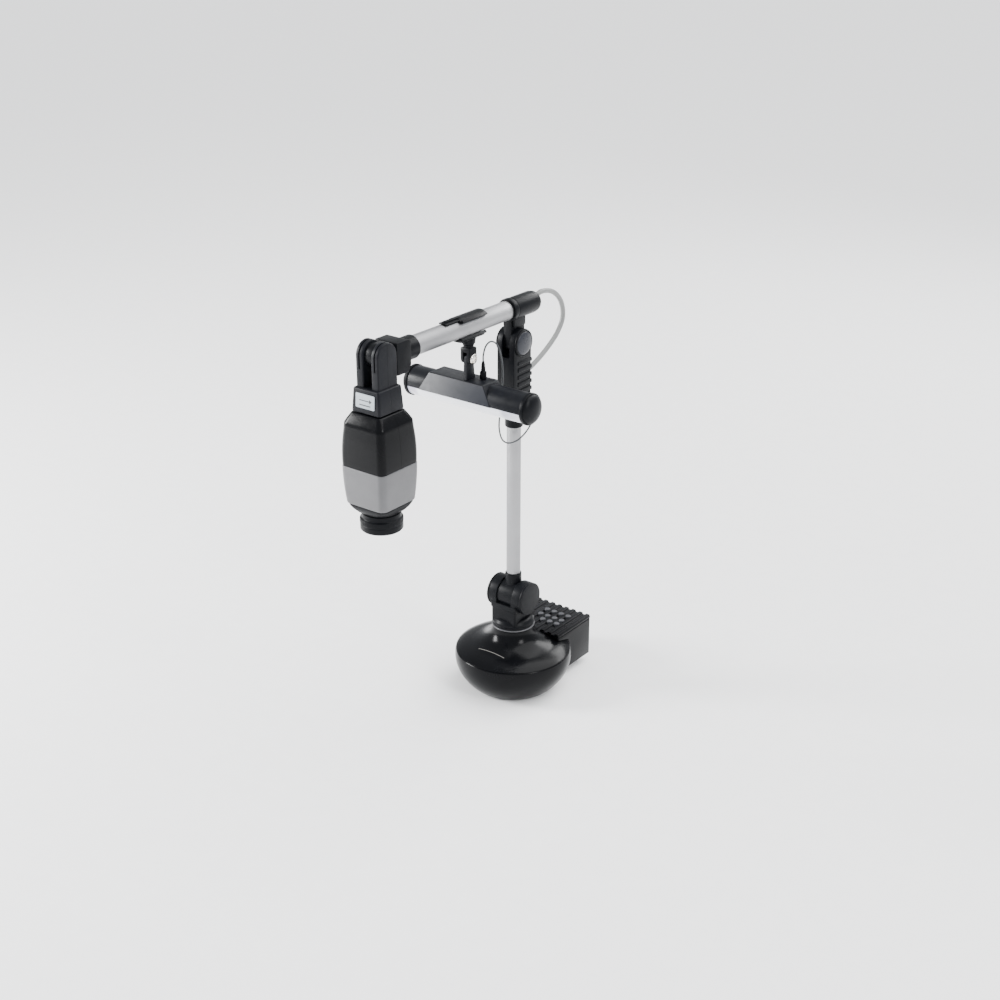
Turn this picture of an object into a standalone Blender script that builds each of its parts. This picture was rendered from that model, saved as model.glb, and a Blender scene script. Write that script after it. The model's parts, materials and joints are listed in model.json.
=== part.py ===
"""Document camera: a weighted round base with a rear control box, a tilting pole, a horizontal arm with a
camera head hanging from its end, and a lamp clipped to the arm.

Lengths are in millimetres and are scaled by MM when a mesh is made. +Z is up, the camera head is at -Y, the
control box at +Y, and the origin is the centre of the foot pad on the table.
"""
import math

import bmesh
import bpy
from mathutils import Matrix, Vector

MM = 0.001
GAP = 0.3  # between two pieces that touch
WALL = 2.5  # moulded plastic

# Base
PAD_RADIUS = 58.0
NECK_RADIUS = 30.5
NECK_TOP = 95.0
SHOULDER = (61.0, 66.0)  # radius, height
CREASE = (83.5, 57.5)
BOWL_FOOT = (62.0, 1.4)
FLANGE_HOLE = 13.5
SHAFT_BORE = 17.5

# Control box
BOX_HALF = 55.0
BOX_FRONT = 37.5
BOX_REAR = 120.0
BOX_BOTTOM = 11.0
PANEL_BOTTOM = 70.5
RIB_TROUGH = 73.0
RIB_CREST = 75.5
RIB_PITCH = 12.7
RIB_COUNT = 9
BUTTON_RADIUS = 4.2
BUTTON_TOP = 77.0
BUTTON_ROWS = (("menu", 95.0, (0, 1, 2, 3)), ("zoom", 78.0, (0, 1, 2, 3)), ("lamp", 65.5, (1, 2, 3)))
BUTTON_FIRST_X = -6.35

# Turret and pole
HINGE_Z = 143.0
BARREL_RADIUS = 22.0
BARREL_HALF = 13.0
CHEEK_HALF = 25.5
POLE_RADIUS = 10.0
POLE_WALL = 1.5
SOCKET_RADIUS = 11.8
SOCKET_TOP = 178.0
SHAFT_RADIUS = 12.0

# Elbow and arm
ELBOW_Z = 525.0
HOUSING_HALF = 14.5
HOUSING_DEPTH = 19.5
HOUSING_BOTTOM = 425.0
HOUSING_SLEEVE = 403.0
TONGUE_HALF = 6.2
SLOT_HALF = 6.6
ARM_Z = 571.5
ARM_RADIUS = 13.0
ARM_WALL = 1.6
KNOB_RADIUS = 15.2
KNOB_FRONT = -17.0
KNOB_REAR = 48.0
SLEEVE_REAR = -211.0
SLEEVE_FRONT = -233.0

# Camera head
HEAD_Y = -277.0
TILT_Z = 577.5
FORK_HALF = 18.0
FORK_DEPTH = 17.5
NECK_BLOCK_TOP = 539.0
NECK_BLOCK_BOTTOM = 508.0
HEAD_TOP = 506.8
BAND_TOP = 437.0
BAND_BOTTOM = 387.0
SKIRT_BOTTOM = 373.0
LENS_BOTTOM = 349.0

# Lamp
CLIP_Y = -99.0
LAMP_Y = -92.0
LAMP_Z = 475.0
LAMP_RADIUS = 20.5
LAMP_LEFT = -96.0
LAMP_RIGHT = 92.0
LAMP_HINGE_Z = 527.0
HOOD_TOP = 498.0
PLUG_X = 15.5
PLUG_Y = -88.0
WIRE_RADIUS = 1.1
CABLE_RADIUS = 3.5

# Free routes of the two cords, from end to end
CABLE_ROUTE = ((0, 49, 577.5), (0, 60, 580), (0, 78, 577.5), (0, 94, 570), (0, 107, 557), (0, 113, 541),
               (0, 111, 526), (0, 98, 510), (0, 79, 497), (0, 60, 487), (0, 42, 479.5), (0, 29.5, 475.6))
WIRE_ROUTE = ((15.5, -88, 522.6), (16, -88, 532), (19.5, -87, 544), (25, -83, 550), (30, -76, 544),
              (31, -69, 525), (30, -65, 500), (27, -64, 472), (23, -62, 445), (18, -57, 420), (16, -47, 400),
              (17, -32, 391), (21, -15, 393), (26, -2, 405), (28.5, 6, 420), (26.5, 8, 432), (21.2, 8, 436))


def clear_scene():
    for obj in list(bpy.data.objects):
        bpy.data.objects.remove(obj, do_unlink=True)


def new_collection(name):
    collection = bpy.data.collections.new(name)
    bpy.context.scene.collection.children.link(collection)
    return collection


def finish(name, colour, roughness, metallic=0.0):
    """A Principled material of one colour."""
    material = bpy.data.materials.new(name)
    material.use_nodes = True
    shader = material.node_tree.nodes["Principled BSDF"]
    shader.inputs["Base Color"].default_value = (*colour, 1.0)
    shader.inputs["Roughness"].default_value = roughness
    shader.inputs["Metallic"].default_value = metallic
    return material


clear_scene()
PARTS = new_collection("document_camera")
CUTTERS = new_collection("cutters")

GLOSS_BLACK = finish("gloss_black", (0.012, 0.013, 0.015), 0.22)
SATIN_BLACK = finish("satin_black", (0.02, 0.021, 0.024), 0.42)
CHARCOAL = finish("charcoal", (0.045, 0.05, 0.058), 0.5)
HOOD_GREY = finish("hood_grey", (0.06, 0.066, 0.078), 0.45)
BAND_GREY = finish("band_grey", (0.2, 0.2, 0.21), 0.4, 0.6)
ALUMINIUM = finish("satin_aluminium", (0.75, 0.75, 0.76), 0.32, 1.0)
STEEL = finish("steel", (0.5, 0.5, 0.5), 0.35, 1.0)
CHROME = finish("chrome", (0.85, 0.83, 0.8), 0.12, 1.0)
IRON = finish("cast_iron", (0.08, 0.08, 0.08), 0.7, 0.8)
RUBBER = finish("rubber", (0.02, 0.02, 0.02), 0.85)
BUTTON_GREY = finish("button_grey", (0.2, 0.2, 0.22), 0.5)
LABEL_GREY = finish("label_grey", (0.62, 0.64, 0.66), 0.45)
CABLE_GREY = finish("cable_grey", (0.55, 0.55, 0.54), 0.5)
WIRE_GREY = finish("wire_grey", (0.08, 0.085, 0.09), 0.5)
DIFFUSER_WHITE = finish("diffuser_white", (0.88, 0.9, 0.93), 0.25)
TUBE_WHITE = finish("tube_white", (0.95, 0.95, 0.93), 0.3)
GLASS = finish("lens_glass", (0.03, 0.03, 0.05), 0.05)
BOARD_GREEN = finish("board_green", (0.02, 0.12, 0.05), 0.6)


def add_object(name, mesh, material):
    obj = bpy.data.objects.new(name, mesh)
    mesh.materials.append(material)
    PARTS.objects.link(obj)
    return obj


def from_bmesh(name, bm, material):
    mesh = bpy.data.meshes.new(name)
    bm.to_mesh(mesh)
    bm.free()
    mesh.shade_smooth()
    mesh.set_sharp_from_angle(angle=math.radians(35))
    return add_object(name, mesh, material)


def turn_to(axis):
    """The rotation that takes local Z to the named axis, keeping a right-handed frame."""
    columns = {
        "X": ((0, 1, 0), (0, 0, 1), (1, 0, 0)),
        "Y": ((0, 0, 1), (1, 0, 0), (0, 1, 0)),
        "Z": ((1, 0, 0), (0, 1, 0), (0, 0, 1)),
    }[axis]
    return Matrix(columns).transposed().to_4x4()


def place(obj, axis, centre):
    obj.matrix_world = Matrix.Translation(Vector(centre) * MM) @ turn_to(axis)
    return obj


def box(name, low, high, material, bevel=0.0):
    bm = bmesh.new()
    bmesh.ops.create_cube(bm, size=1.0)
    low, high = Vector(low) * MM, Vector(high) * MM
    for vert in bm.verts:
        vert.co = Vector(((low[i] + high[i]) / 2 + vert.co[i] * (high[i] - low[i])) for i in range(3))
    obj = from_bmesh(name, bm, material)
    if bevel:
        add_bevel(obj, bevel)
    return obj


def add_bevel(obj, width, segments=2):
    bevel = obj.modifiers.new("Bevel", "BEVEL")
    bevel.width = width * MM
    bevel.segments = segments
    bevel.limit_method = "ANGLE"
    bevel.angle_limit = math.radians(40)


def cylinder(name, axis, centre, radius, low, high, material, sides=24):
    """A round bar along axis through centre, from low to high measured from centre."""
    bm = bmesh.new()
    bmesh.ops.create_cone(bm, cap_ends=True, segments=sides, radius1=radius * MM, radius2=radius * MM,
                          depth=(high - low) * MM)
    bmesh.ops.translate(bm, verts=bm.verts, vec=(0, 0, (low + high) / 2 * MM))
    return place(from_bmesh(name, bm, material), axis, centre)


def turned(name, axis, centre, profile, material, sides=24, ring=False, wall=0.0):
    """Turns (radius, height) points, outer side first from top to bottom. A ring closes the profile on
    itself, and a wall thickness makes an open profile into a shell that grows inwards."""
    bm = bmesh.new()
    verts = [bm.verts.new((radius * MM, 0, height * MM)) for radius, height in profile]
    for first, second in zip(verts, verts[1:] + (verts[:1] if ring else [])):
        bm.edges.new((first, second))
    obj = from_bmesh(name, bm, material)
    screw = obj.modifiers.new("Screw", "SCREW")
    screw.steps = screw.render_steps = sides
    screw.use_merge_vertices = True
    screw.merge_threshold = 1e-6
    if wall:
        shell = obj.modifiers.new("Solidify", "SOLIDIFY")
        shell.thickness = wall * MM
        shell.offset = -1
    return place(obj, axis, centre)


def flat(name, outline, axis, low, high, material):
    """A flat outline of (across, up) points extruded along axis: across and up are Y and Z for axis X, and
    X and Z for axis Y."""
    curve = bpy.data.curves.new(name, "CURVE")
    curve.dimensions = "2D"
    curve.fill_mode = "BOTH"
    curve.extrude = (high - low) / 2 * MM
    spline = curve.splines.new("POLY")
    spline.points.add(len(outline) - 1)
    side = -1 if axis == "Y" else 1
    for point, (across, up) in zip(spline.points, outline):
        point.co = (across * MM, up * MM, 0, 1)
    spline.use_cyclic_u = True
    obj = bpy.data.objects.new(name, curve)
    PARTS.objects.link(obj)
    middle = (low + high) / 2
    if axis == "X":
        obj.matrix_world = place_matrix((middle, 0, 0), ((0, 1, 0), (0, 0, 1), (1, 0, 0)))
    else:
        obj.matrix_world = place_matrix((0, middle, 0), ((1, 0, 0), (0, 0, 1), (0, side, 0)))
    return as_mesh(obj, material)


def place_matrix(centre, columns):
    return Matrix.Translation(Vector(centre) * MM) @ Matrix(columns).transposed().to_4x4()


def as_mesh(curve_object, material):
    """The curve as a mesh object with its caps welded, so that it can be cut."""
    bpy.context.view_layer.update()
    graph = bpy.context.evaluated_depsgraph_get()
    mesh = bpy.data.meshes.new_from_object(curve_object.evaluated_get(graph))
    bm = bmesh.new()
    bm.from_mesh(mesh)
    bmesh.ops.remove_doubles(bm, verts=bm.verts, dist=1e-6)
    bm.to_mesh(mesh)
    bm.free()
    mesh.shade_smooth()
    mesh.set_sharp_from_angle(angle=math.radians(35))
    name, world = curve_object.name, curve_object.matrix_world.copy()
    bpy.data.objects.remove(curve_object, do_unlink=True)
    obj = add_object(name, mesh, material)
    obj.matrix_world = world
    return obj


def arc(centre, radius, start, end, count):
    """Points on an arc, with angles in degrees from +across towards up."""
    turns = [math.radians(start + (end - start) * step / (count - 1)) for step in range(count)]
    return [(centre[0] + radius * math.cos(turn), centre[1] + radius * math.sin(turn)) for turn in turns]


def sector(centre, inner, outer, start, end, count):
    """A piece of a ring, as an outline."""
    return arc(centre, outer, start, end, count) + arc(centre, inner, end, start, count)


def rounded_square(centre, half, radius, height, per_corner=4):
    """One level of a loft: a square of the given half-width with round corners."""
    points = []
    for corner in range(4):
        turn = math.radians(90 * corner)
        core = half - radius
        for step in range(per_corner):
            angle = turn + math.radians(90 * step / (per_corner - 1))
            along = Vector((core * (1, -1, -1, 1)[corner], core * (1, 1, -1, -1)[corner]))
            points.append(Vector((centre[0] + along.x + radius * math.cos(angle),
                                  centre[1] + along.y + radius * math.sin(angle), height)) * MM)
    return points


def loft(name, levels, material):
    """A closed solid through levels of equal point count, from bottom to top."""
    bm = bmesh.new()
    rings = [[bm.verts.new(point) for point in level] for level in levels]
    for lower, upper in zip(rings, rings[1:]):
        for index in range(len(lower)):
            following = (index + 1) % len(lower)
            bm.faces.new((lower[index], lower[following], upper[following], upper[index]))
    bm.faces.new(list(reversed(rings[0])))
    bm.faces.new(rings[-1])
    return from_bmesh(name, bm, material)


def put_aside(obj):
    """Makes an object a cutter: the Booleans use it, and it isn't a piece."""
    PARTS.objects.unlink(obj)
    CUTTERS.objects.link(obj)
    obj.hide_render = True
    obj.display_type = "WIRE"


def combine(obj, operation, others):
    for other in others:
        if other.name in PARTS.objects:
            put_aside(other)
        boolean = obj.modifiers.new(operation.title(), "BOOLEAN")
        boolean.operation = operation
        boolean.solver = "EXACT"
        boolean.object = other
    return obj


def cut(obj, *cutters):
    return combine(obj, "DIFFERENCE", cutters)


def join(obj, *others):
    return combine(obj, "UNION", others)


def half_of(name, whole, low, high, material):
    """A copy of whole, cut to the block between low and high."""
    obj = whole.copy()
    obj.data = whole.data.copy()
    obj.name = name
    obj.data.materials.clear()
    obj.data.materials.append(material)
    obj.hide_render = False
    obj.display_type = "TEXTURED"
    PARTS.objects.link(obj)
    return combine(obj, "INTERSECT", [box(name + "_block", low, high, material)])


def smooth_route(points, spacing):
    """Points about spacing apart on a Catmull-Rom curve through the given ones."""
    route = [Vector(point) for point in points]
    route = [2 * route[0] - route[1], *route, 2 * route[-1] - route[-2]]
    fine = []
    for a, b, c, d in zip(route, route[1:], route[2:], route[3:]):
        for step in range(20):
            t = step / 20
            fine.append(0.5 * (2 * b + (c - a) * t + (2 * a - 5 * b + 4 * c - d) * t * t
                               + (3 * b - a - 3 * c + d) * t ** 3))
    fine.append(route[-2])
    length = sum((second - first).length for first, second in zip(fine, fine[1:]))
    count = max(2, round(length / spacing))
    even, travelled, target = [fine[0]], 0.0, length / count
    for first, second in zip(fine, fine[1:]):
        step = (second - first).length
        while travelled + step >= target - 1e-6 and len(even) < count:
            even.append(first.lerp(second, (target - travelled) / step))
            target += length / count
        travelled += step
    return even + [fine[-1]]


def cord(name, route, radius, spacing, material):
    curve = bpy.data.curves.new(name, "CURVE")
    curve.dimensions = "3D"
    curve.bevel_depth = radius * MM
    curve.bevel_resolution = 2
    curve.use_fill_caps = True
    points = smooth_route(route, spacing)
    spline = curve.splines.new("POLY")
    spline.points.add(len(points) - 1)
    for target, point in zip(spline.points, points):
        target.co = (*(point * MM), 1)
    obj = bpy.data.objects.new(name, curve)
    curve.materials.append(material)
    PARTS.objects.link(obj)
    return obj


def bezier(first, pull_first, pull_last, last, count):
    """Points on a cubic curve after its first point."""
    points = []
    for step in range(1, count + 1):
        t = step / count
        weights = ((1 - t) ** 3, 3 * t * (1 - t) ** 2, 3 * t * t * (1 - t), t ** 3)
        points.append(tuple(sum(w * p[i] for w, p in zip(weights, (first, pull_first, pull_last, last)))
                            for i in range(2)))
    return points


def gourd_profile():
    """The base's outer outline from the neck's top to its foot: a concave neck, a shallow shoulder, a crease
    and a round bowl."""
    neck = (NECK_RADIUS, NECK_TOP)
    return ([neck]
            + bezier(neck, (NECK_RADIUS + 1, 79), (43, 71), SHOULDER, 5)
            + bezier(SHOULDER, (70, 64), (78.5, 61.5), CREASE, 3)
            + bezier((CREASE[0] + 0.6, CREASE[1] - 0.8), (87, 46), (87, 24), BOWL_FOOT, 7))


def offset_profile(profile, distance):
    """The outline moved outwards by distance, at right angles to itself."""
    moved = []
    for index, point in enumerate(profile):
        before = Vector(profile[max(index - 1, 0)])
        after = Vector(profile[min(index + 1, len(profile) - 1)])
        along = (after - before).normalized()
        moved.append((point[0] - along.y * distance, point[1] + along.x * distance))
    return moved


def make_base():
    """The top cover down to the crease, thick enough to hold the swivel shaft, the bowl below it, and the
    weight that closes the bowl and stands on the rubber pad."""
    outline = gourd_profile()
    top = [point for point in outline if point[1] >= CREASE[1]]
    bowl = [point for point in outline if point[1] < CREASE[1]]
    turned("base_top_cover", "Z", (0, 0, 0),
           top + [(SHAFT_BORE, CREASE[1]), (SHAFT_BORE, NECK_TOP - WALL), (FLANGE_HOLE, NECK_TOP - WALL),
                  (FLANGE_HOLE, NECK_TOP)], GLOSS_BLACK, 40, ring=True)
    turned("base_bowl", "Z", (0, 0, 0), bowl, GLOSS_BLACK, 40, wall=WALL)
    cylinder("foot_pad", "Z", (0, 0, 0), PAD_RADIUS, 0, 2.0, RUBBER, 40)
    turned("ballast_weight", "Z", (0, 0, 0),
           [(72, 40), (72, 22), (PAD_RADIUS, 2.0 + GAP), (0, 2.0 + GAP), (0, 6), (20, 6), (20, 40)],
           IRON, 32, ring=True)
    turned("swivel_ring", "Z", (0, 0, 0),
           [(31.3, 97.3), (31.3, 95.3), (FLANGE_HOLE, 95.3), (FLANGE_HOLE, 97.3)], LABEL_GREY, 40, ring=True)
    return outline


def make_control_box(gourd):
    """A tray with a ribbed lid, butting on the round base."""
    clearance = offset_profile(gourd, 0.6)
    clearance = [(0, clearance[0][1])] + clearance + [(clearance[-1][0], -5), (0, -5)]
    gourd = turned("gourd_cutter", "Z", (0, 0, 0), clearance, GLOSS_BLACK, 40)
    put_aside(gourd)
    wall_top = PANEL_BOTTOM - GAP
    tray = box("control_housing", (-BOX_HALF, BOX_FRONT, BOX_BOTTOM), (BOX_HALF, BOX_REAR, wall_top),
               GLOSS_BLACK, 2)
    hollow = box("tray_cutter", (-BOX_HALF + WALL, 20, BOX_BOTTOM + WALL),
                 (BOX_HALF - WALL, BOX_REAR - WALL, wall_top + 5), GLOSS_BLACK)
    jack_hole = cylinder("jack_cutter", "Y", (-20, BOX_REAR - 5, 40), 7.4, 0, 10, STEEL, 20)
    power_hole = cylinder("power_cutter", "Y", (15, BOX_REAR - 5, 40), 6.4, 0, 10, STEEL, 20)
    cut(tray, hollow, jack_hole, power_hole, gourd)
    outline = [(-BOX_HALF, PANEL_BOTTOM), (BOX_HALF, PANEL_BOTTOM), (BOX_HALF, RIB_TROUGH)]
    for rib in reversed(range(RIB_COUNT)):
        middle = (rib - (RIB_COUNT - 1) / 2) * RIB_PITCH
        outline += [(middle + 4, RIB_TROUGH), (middle + 2.6, RIB_CREST), (middle - 2.6, RIB_CREST),
                    (middle - 4, RIB_TROUGH)]
    outline.append((-BOX_HALF, RIB_TROUGH))
    panel = flat("ribbed_panel", outline, "Y", BOX_FRONT, BOX_REAR, GLOSS_BLACK)
    cut(panel, gourd, *make_buttons())
    box("control_board", (-45, 62.5, 66.2), (45, 112, 67), BOARD_GREEN)
    for name, x, radius in (("video_jack", -20, 7.0), ("power_jack", 15, 6.0)):
        turned(name, "Y", (x, BOX_REAR, 40),
               [(radius - 2, 2), (radius, 2), (radius, -12), (0, -12), (0, -8), (radius - 2, -8)],
               SATIN_BLACK, 20, ring=True)


def make_buttons():
    """The keys in the troughs of the lid, each with a flange below it, and the holes that they need."""
    holes = []
    for row, y, columns in BUTTON_ROWS:
        for column in columns:
            x = BUTTON_FIRST_X + column * RIB_PITCH
            name = f"{row}_button_{column + 1}"
            turned(name, "Z", (x, y, 0),
                   [(0, BUTTON_TOP), (BUTTON_RADIUS - 1, BUTTON_TOP - 0.2), (BUTTON_RADIUS, BUTTON_TOP - 1.2),
                    (BUTTON_RADIUS, PANEL_BOTTOM - 1), (BUTTON_RADIUS + 1, PANEL_BOTTOM - 1),
                    (BUTTON_RADIUS + 1, PANEL_BOTTOM - 2.2), (0, PANEL_BOTTOM - 2.2)], BUTTON_GREY, 12)
            holes.append(cylinder(name + "_hole", "Z", (x, y, PANEL_BOTTOM), BUTTON_RADIUS + 0.4, -3, 8,
                                  STEEL, 12))
    return holes


def make_turret():
    hinge = (0, HINGE_Z)
    cheeks = flat("turret_yoke", arc(hinge, BARREL_RADIUS + 2, 0, 360 - 15, 24), "X", -CHEEK_HALF, CHEEK_HALF,
                  SATIN_BLACK)
    block = box("yoke_block", (-21.5, -24, 104), (21.5, 24, HINGE_Z), SATIN_BLACK, 2)
    foot = turned("yoke_foot", "Z", (0, 0, 0),
                  [(0, 108), (27, 108), (NECK_RADIUS, 104.5), (NECK_RADIUS, 97.6), (0, 97.6)],
                  SATIN_BLACK, 40)
    barrel_room = cylinder("barrel_room", "X", (0, 0, HINGE_Z), BARREL_RADIUS + 0.6, -BARREL_HALF - 0.4,
                           BARREL_HALF + 0.4, STEEL, 32)
    socket_room = box("socket_room", (-BARREL_HALF - 0.4, -40, HINGE_Z - 9), (BARREL_HALF + 0.4, 40, 180),
                      STEEL)
    axle_room = cylinder("axle_room", "X", (0, 0, HINGE_Z), 5.3, -40, 40, STEEL, 20)
    shaft_room = cylinder("shaft_room", "Z", (0, 0, 0), SHAFT_RADIUS + 0.3, 90, 106, STEEL, 24)
    join(cheeks, block, foot)
    cut(cheeks, barrel_room, socket_room, axle_room, shaft_room)
    turned("swivel_shaft", "Z", (0, 0, 0),
           [(SHAFT_RADIUS, 105.7), (SHAFT_RADIUS, 90), (17, 90), (17, 86), (8, 86), (8, 105.7)],
           STEEL, 24, ring=True)
    cylinder("pole_hinge_axle", "X", (0, 0, HINGE_Z), 5, -CHEEK_HALF, CHEEK_HALF, STEEL, 20)
    for name, side in (("hinge_cap_left", -1), ("hinge_cap_right", 1)):
        cap = turned(name, "X", (0, 0, HINGE_Z),
                     [(0, 29.6), (17.5, 29.6), (21.5, 28.4), (21.5, CHEEK_HALF + GAP), (0, CHEEK_HALF + GAP)],
                     SATIN_BLACK, 32)
        if side < 0:
            cap.matrix_world = cap.matrix_world @ Matrix.Rotation(math.pi, 4, "X")


def make_pole():
    socket = cylinder("pole_socket", "X", (0, 0, HINGE_Z), BARREL_RADIUS, -BARREL_HALF, BARREL_HALF,
                      SATIN_BLACK, 32)
    stem = turned("socket_stem", "Z", (0, 0, 0),
                  [(0, SOCKET_TOP), (SOCKET_RADIUS, SOCKET_TOP), (SOCKET_RADIUS + 0.6, HINGE_Z),
                   (0, HINGE_Z)], SATIN_BLACK, 28)
    join(socket, stem)
    cut(socket, cylinder("pole_room", "Z", (0, 0, 0), POLE_RADIUS + GAP, 153.7, 190, STEEL, 28),
        cylinder("socket_axle_room", "X", (0, 0, HINGE_Z), 5.3, -40, 40, STEEL, 20))
    bore = POLE_RADIUS - POLE_WALL
    turned("pole_tube", "Z", (0, 0, 0), [(POLE_RADIUS, 438), (POLE_RADIUS, 154), (bore, 154), (bore, 438)],
           ALUMINIUM, 28, ring=True)


def make_elbow():
    outline = [(-HOUSING_DEPTH, HOUSING_BOTTOM)]
    outline += arc((0, ELBOW_Z), HOUSING_DEPTH, 180, 0, 13)
    outline += [(HOUSING_DEPTH, HOUSING_BOTTOM)]
    housing = flat("elbow_housing", outline, "X", -HOUSING_HALF, HOUSING_HALF, SATIN_BLACK)
    sleeve = turned("housing_sleeve", "Z", (0, 0, 0),
                    [(0, 430), (14, 430), (14, 424), (12.6, 416), (12.6, HOUSING_SLEEVE),
                     (0, HOUSING_SLEEVE)], SATIN_BLACK, 28)
    join(housing, sleeve)
    cut(housing, box("tongue_room", (-SLOT_HALF, -30, ELBOW_Z - 19), (SLOT_HALF, 30, 560), STEEL),
        cylinder("housing_pole_room", "Z", (0, 0, 0), POLE_RADIUS + GAP, 390, 438.3, STEEL, 28),
        cylinder("housing_axle_room", "X", (0, 0, ELBOW_Z), 4.3, -30, 30, STEEL, 16))
    cylinder("elbow_axle", "X", (0, 0, ELBOW_Z), 4, -HOUSING_HALF, HOUSING_HALF, STEEL, 16)
    for name, side in (("elbow_cap_left", -1), ("elbow_cap_right", 1)):
        face = HOUSING_HALF + GAP
        cap = turned(name, "X", (0, 0, ELBOW_Z),
                     [(0, 20.4), (10, 20), (16, 18.7), (18.6, 17), (18.8, face), (0, face)], SATIN_BLACK, 32)
        if side < 0:
            cap.matrix_world = cap.matrix_world @ Matrix.Rotation(math.pi, 4, "X")
    cylinder("cable_gland", "Y", (0, 0, 475), 5.6, HOUSING_DEPTH + GAP, 27, SATIN_BLACK, 16)
    cylinder("wire_gland", "X", (0, 8, 436), 3.4, HOUSING_HALF + GAP, 20, SATIN_BLACK, 12)


def make_arm():
    knob = turned("arm_knuckle", "Y", (0, 0, ARM_Z),
                  [(0, KNOB_REAR), (8, KNOB_REAR - 0.6), (12.4, KNOB_REAR - 3.4), (14.8, KNOB_REAR - 8),
                   (KNOB_RADIUS, KNOB_REAR - 14), (KNOB_RADIUS, -9), (KNOB_RADIUS + 0.6, -9.4),
                   (KNOB_RADIUS + 0.6, KNOB_FRONT), (0, KNOB_FRONT)], SATIN_BLACK, 32)
    tongue_outline = arc((0, ELBOW_Z), 15, 180, 360, 13) + [(13.5, 562), (-14.5, 562)]
    tongue = flat("knuckle_tongue", tongue_outline, "X", -TONGUE_HALF, TONGUE_HALF, SATIN_BLACK)
    join(knob, tongue)
    cut(knob, cylinder("tube_room_rear", "Y", (0, 0, ARM_Z), ARM_RADIUS + GAP, -30, 10.3, STEEL, 32),
        cylinder("knuckle_axle_room", "X", (0, 0, ELBOW_Z), 4.3, -30, 30, STEEL, 16),
        cylinder("cable_room", "Y", (0, 0, 577.5), 4.4, 5, 60, STEEL, 16))
    bore = ARM_RADIUS - ARM_WALL
    turned("arm_tube", "Y", (0, 0, ARM_Z), [(ARM_RADIUS, 10), (ARM_RADIUS, -229), (bore, -229), (bore, 10)],
           ALUMINIUM, 32, ring=True)
    make_end_block()


def make_end_block():
    """The round sleeve on the arm's front end, the square block and the tongue for the camera head."""
    sleeve = turned("arm_end_block", "Y", (0, 0, ARM_Z),
                    [(0, SLEEVE_REAR), (14.6, SLEEVE_REAR), (15.4, SLEEVE_REAR - 0.8),
                     (15.4, SLEEVE_FRONT - 2), (0, SLEEVE_FRONT - 2)], SATIN_BLACK, 32)
    face = HEAD_Y + FORK_DEPTH + 0.6
    block = flat("square_block",
                 [(face, 549), (SLEEVE_FRONT - 5, 549), (SLEEVE_FRONT - 3, 554), (SLEEVE_FRONT, 556),
                  (SLEEVE_FRONT, 587), (SLEEVE_FRONT - 4, 590), (face, 590)],
                 "X", -FORK_HALF + 0.5, FORK_HALF - 0.5, SATIN_BLACK)
    tongue = flat("end_tongue", arc((HEAD_Y, TILT_Z), 14.5, 90, 270, 11) + [(face + 4, TILT_Z - 14.5),
                                                                             (face + 4, 590 - 1)],
                  "X", -TONGUE_HALF, TONGUE_HALF, SATIN_BLACK)
    join(sleeve, block, tongue)
    cut(sleeve, cylinder("tube_room_front", "Y", (0, 0, ARM_Z), ARM_RADIUS + GAP, -229.3, -200, STEEL, 32),
        cylinder("tilt_pin_room", "X", (0, HEAD_Y, TILT_Z), 3.8, -30, 30, STEEL, 16))


def make_fork():
    """The two tines and the tapered neck block below them, moulded as a front and a rear half."""
    neck = loft("fork_whole", [rounded_square((0, HEAD_Y), 23, 3, NECK_BLOCK_BOTTOM),
                               rounded_square((0, HEAD_Y), 21.2, 3, NECK_BLOCK_TOP)], CHARCOAL)
    tine = [(HEAD_Y - FORK_DEPTH, NECK_BLOCK_TOP - 5)]
    tine += arc((HEAD_Y, TILT_Z), FORK_DEPTH, 180, 0, 14) + [(HEAD_Y + FORK_DEPTH, NECK_BLOCK_TOP - 5)]
    left = flat("tine_left", tine, "X", -FORK_HALF, -SLOT_HALF, CHARCOAL)
    right = flat("tine_right", tine, "X", SLOT_HALF, FORK_HALF, CHARCOAL)
    join(neck, left, right)
    cut(neck, cylinder("fork_pin_room", "X", (0, HEAD_Y, TILT_Z), 3.8, -14.3, 14.3, STEEL, 18))
    put_aside(neck)
    half_of("fork_front_shell", neck, (-40, HEAD_Y - 40, 480), (40, HEAD_Y - 0.15, 620), CHARCOAL)
    half_of("fork_rear_shell", neck, (-40, HEAD_Y + 0.15, 480), (40, HEAD_Y + 40, 620), CHARCOAL)
    cylinder("tilt_pin", "X", (0, HEAD_Y, TILT_Z), 3.5, -14, 14, STEEL, 16)
    lean = math.atan2(23 - 21.2, NECK_BLOCK_TOP - NECK_BLOCK_BOTTOM)
    label = box("label_plate", (-15, -0.5, -9), (15, 0.5, 9), LABEL_GREY)
    label.location = Vector((0, HEAD_Y - 22.05 - 0.9, 524)) * MM
    label.rotation_euler.x = -lean


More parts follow.
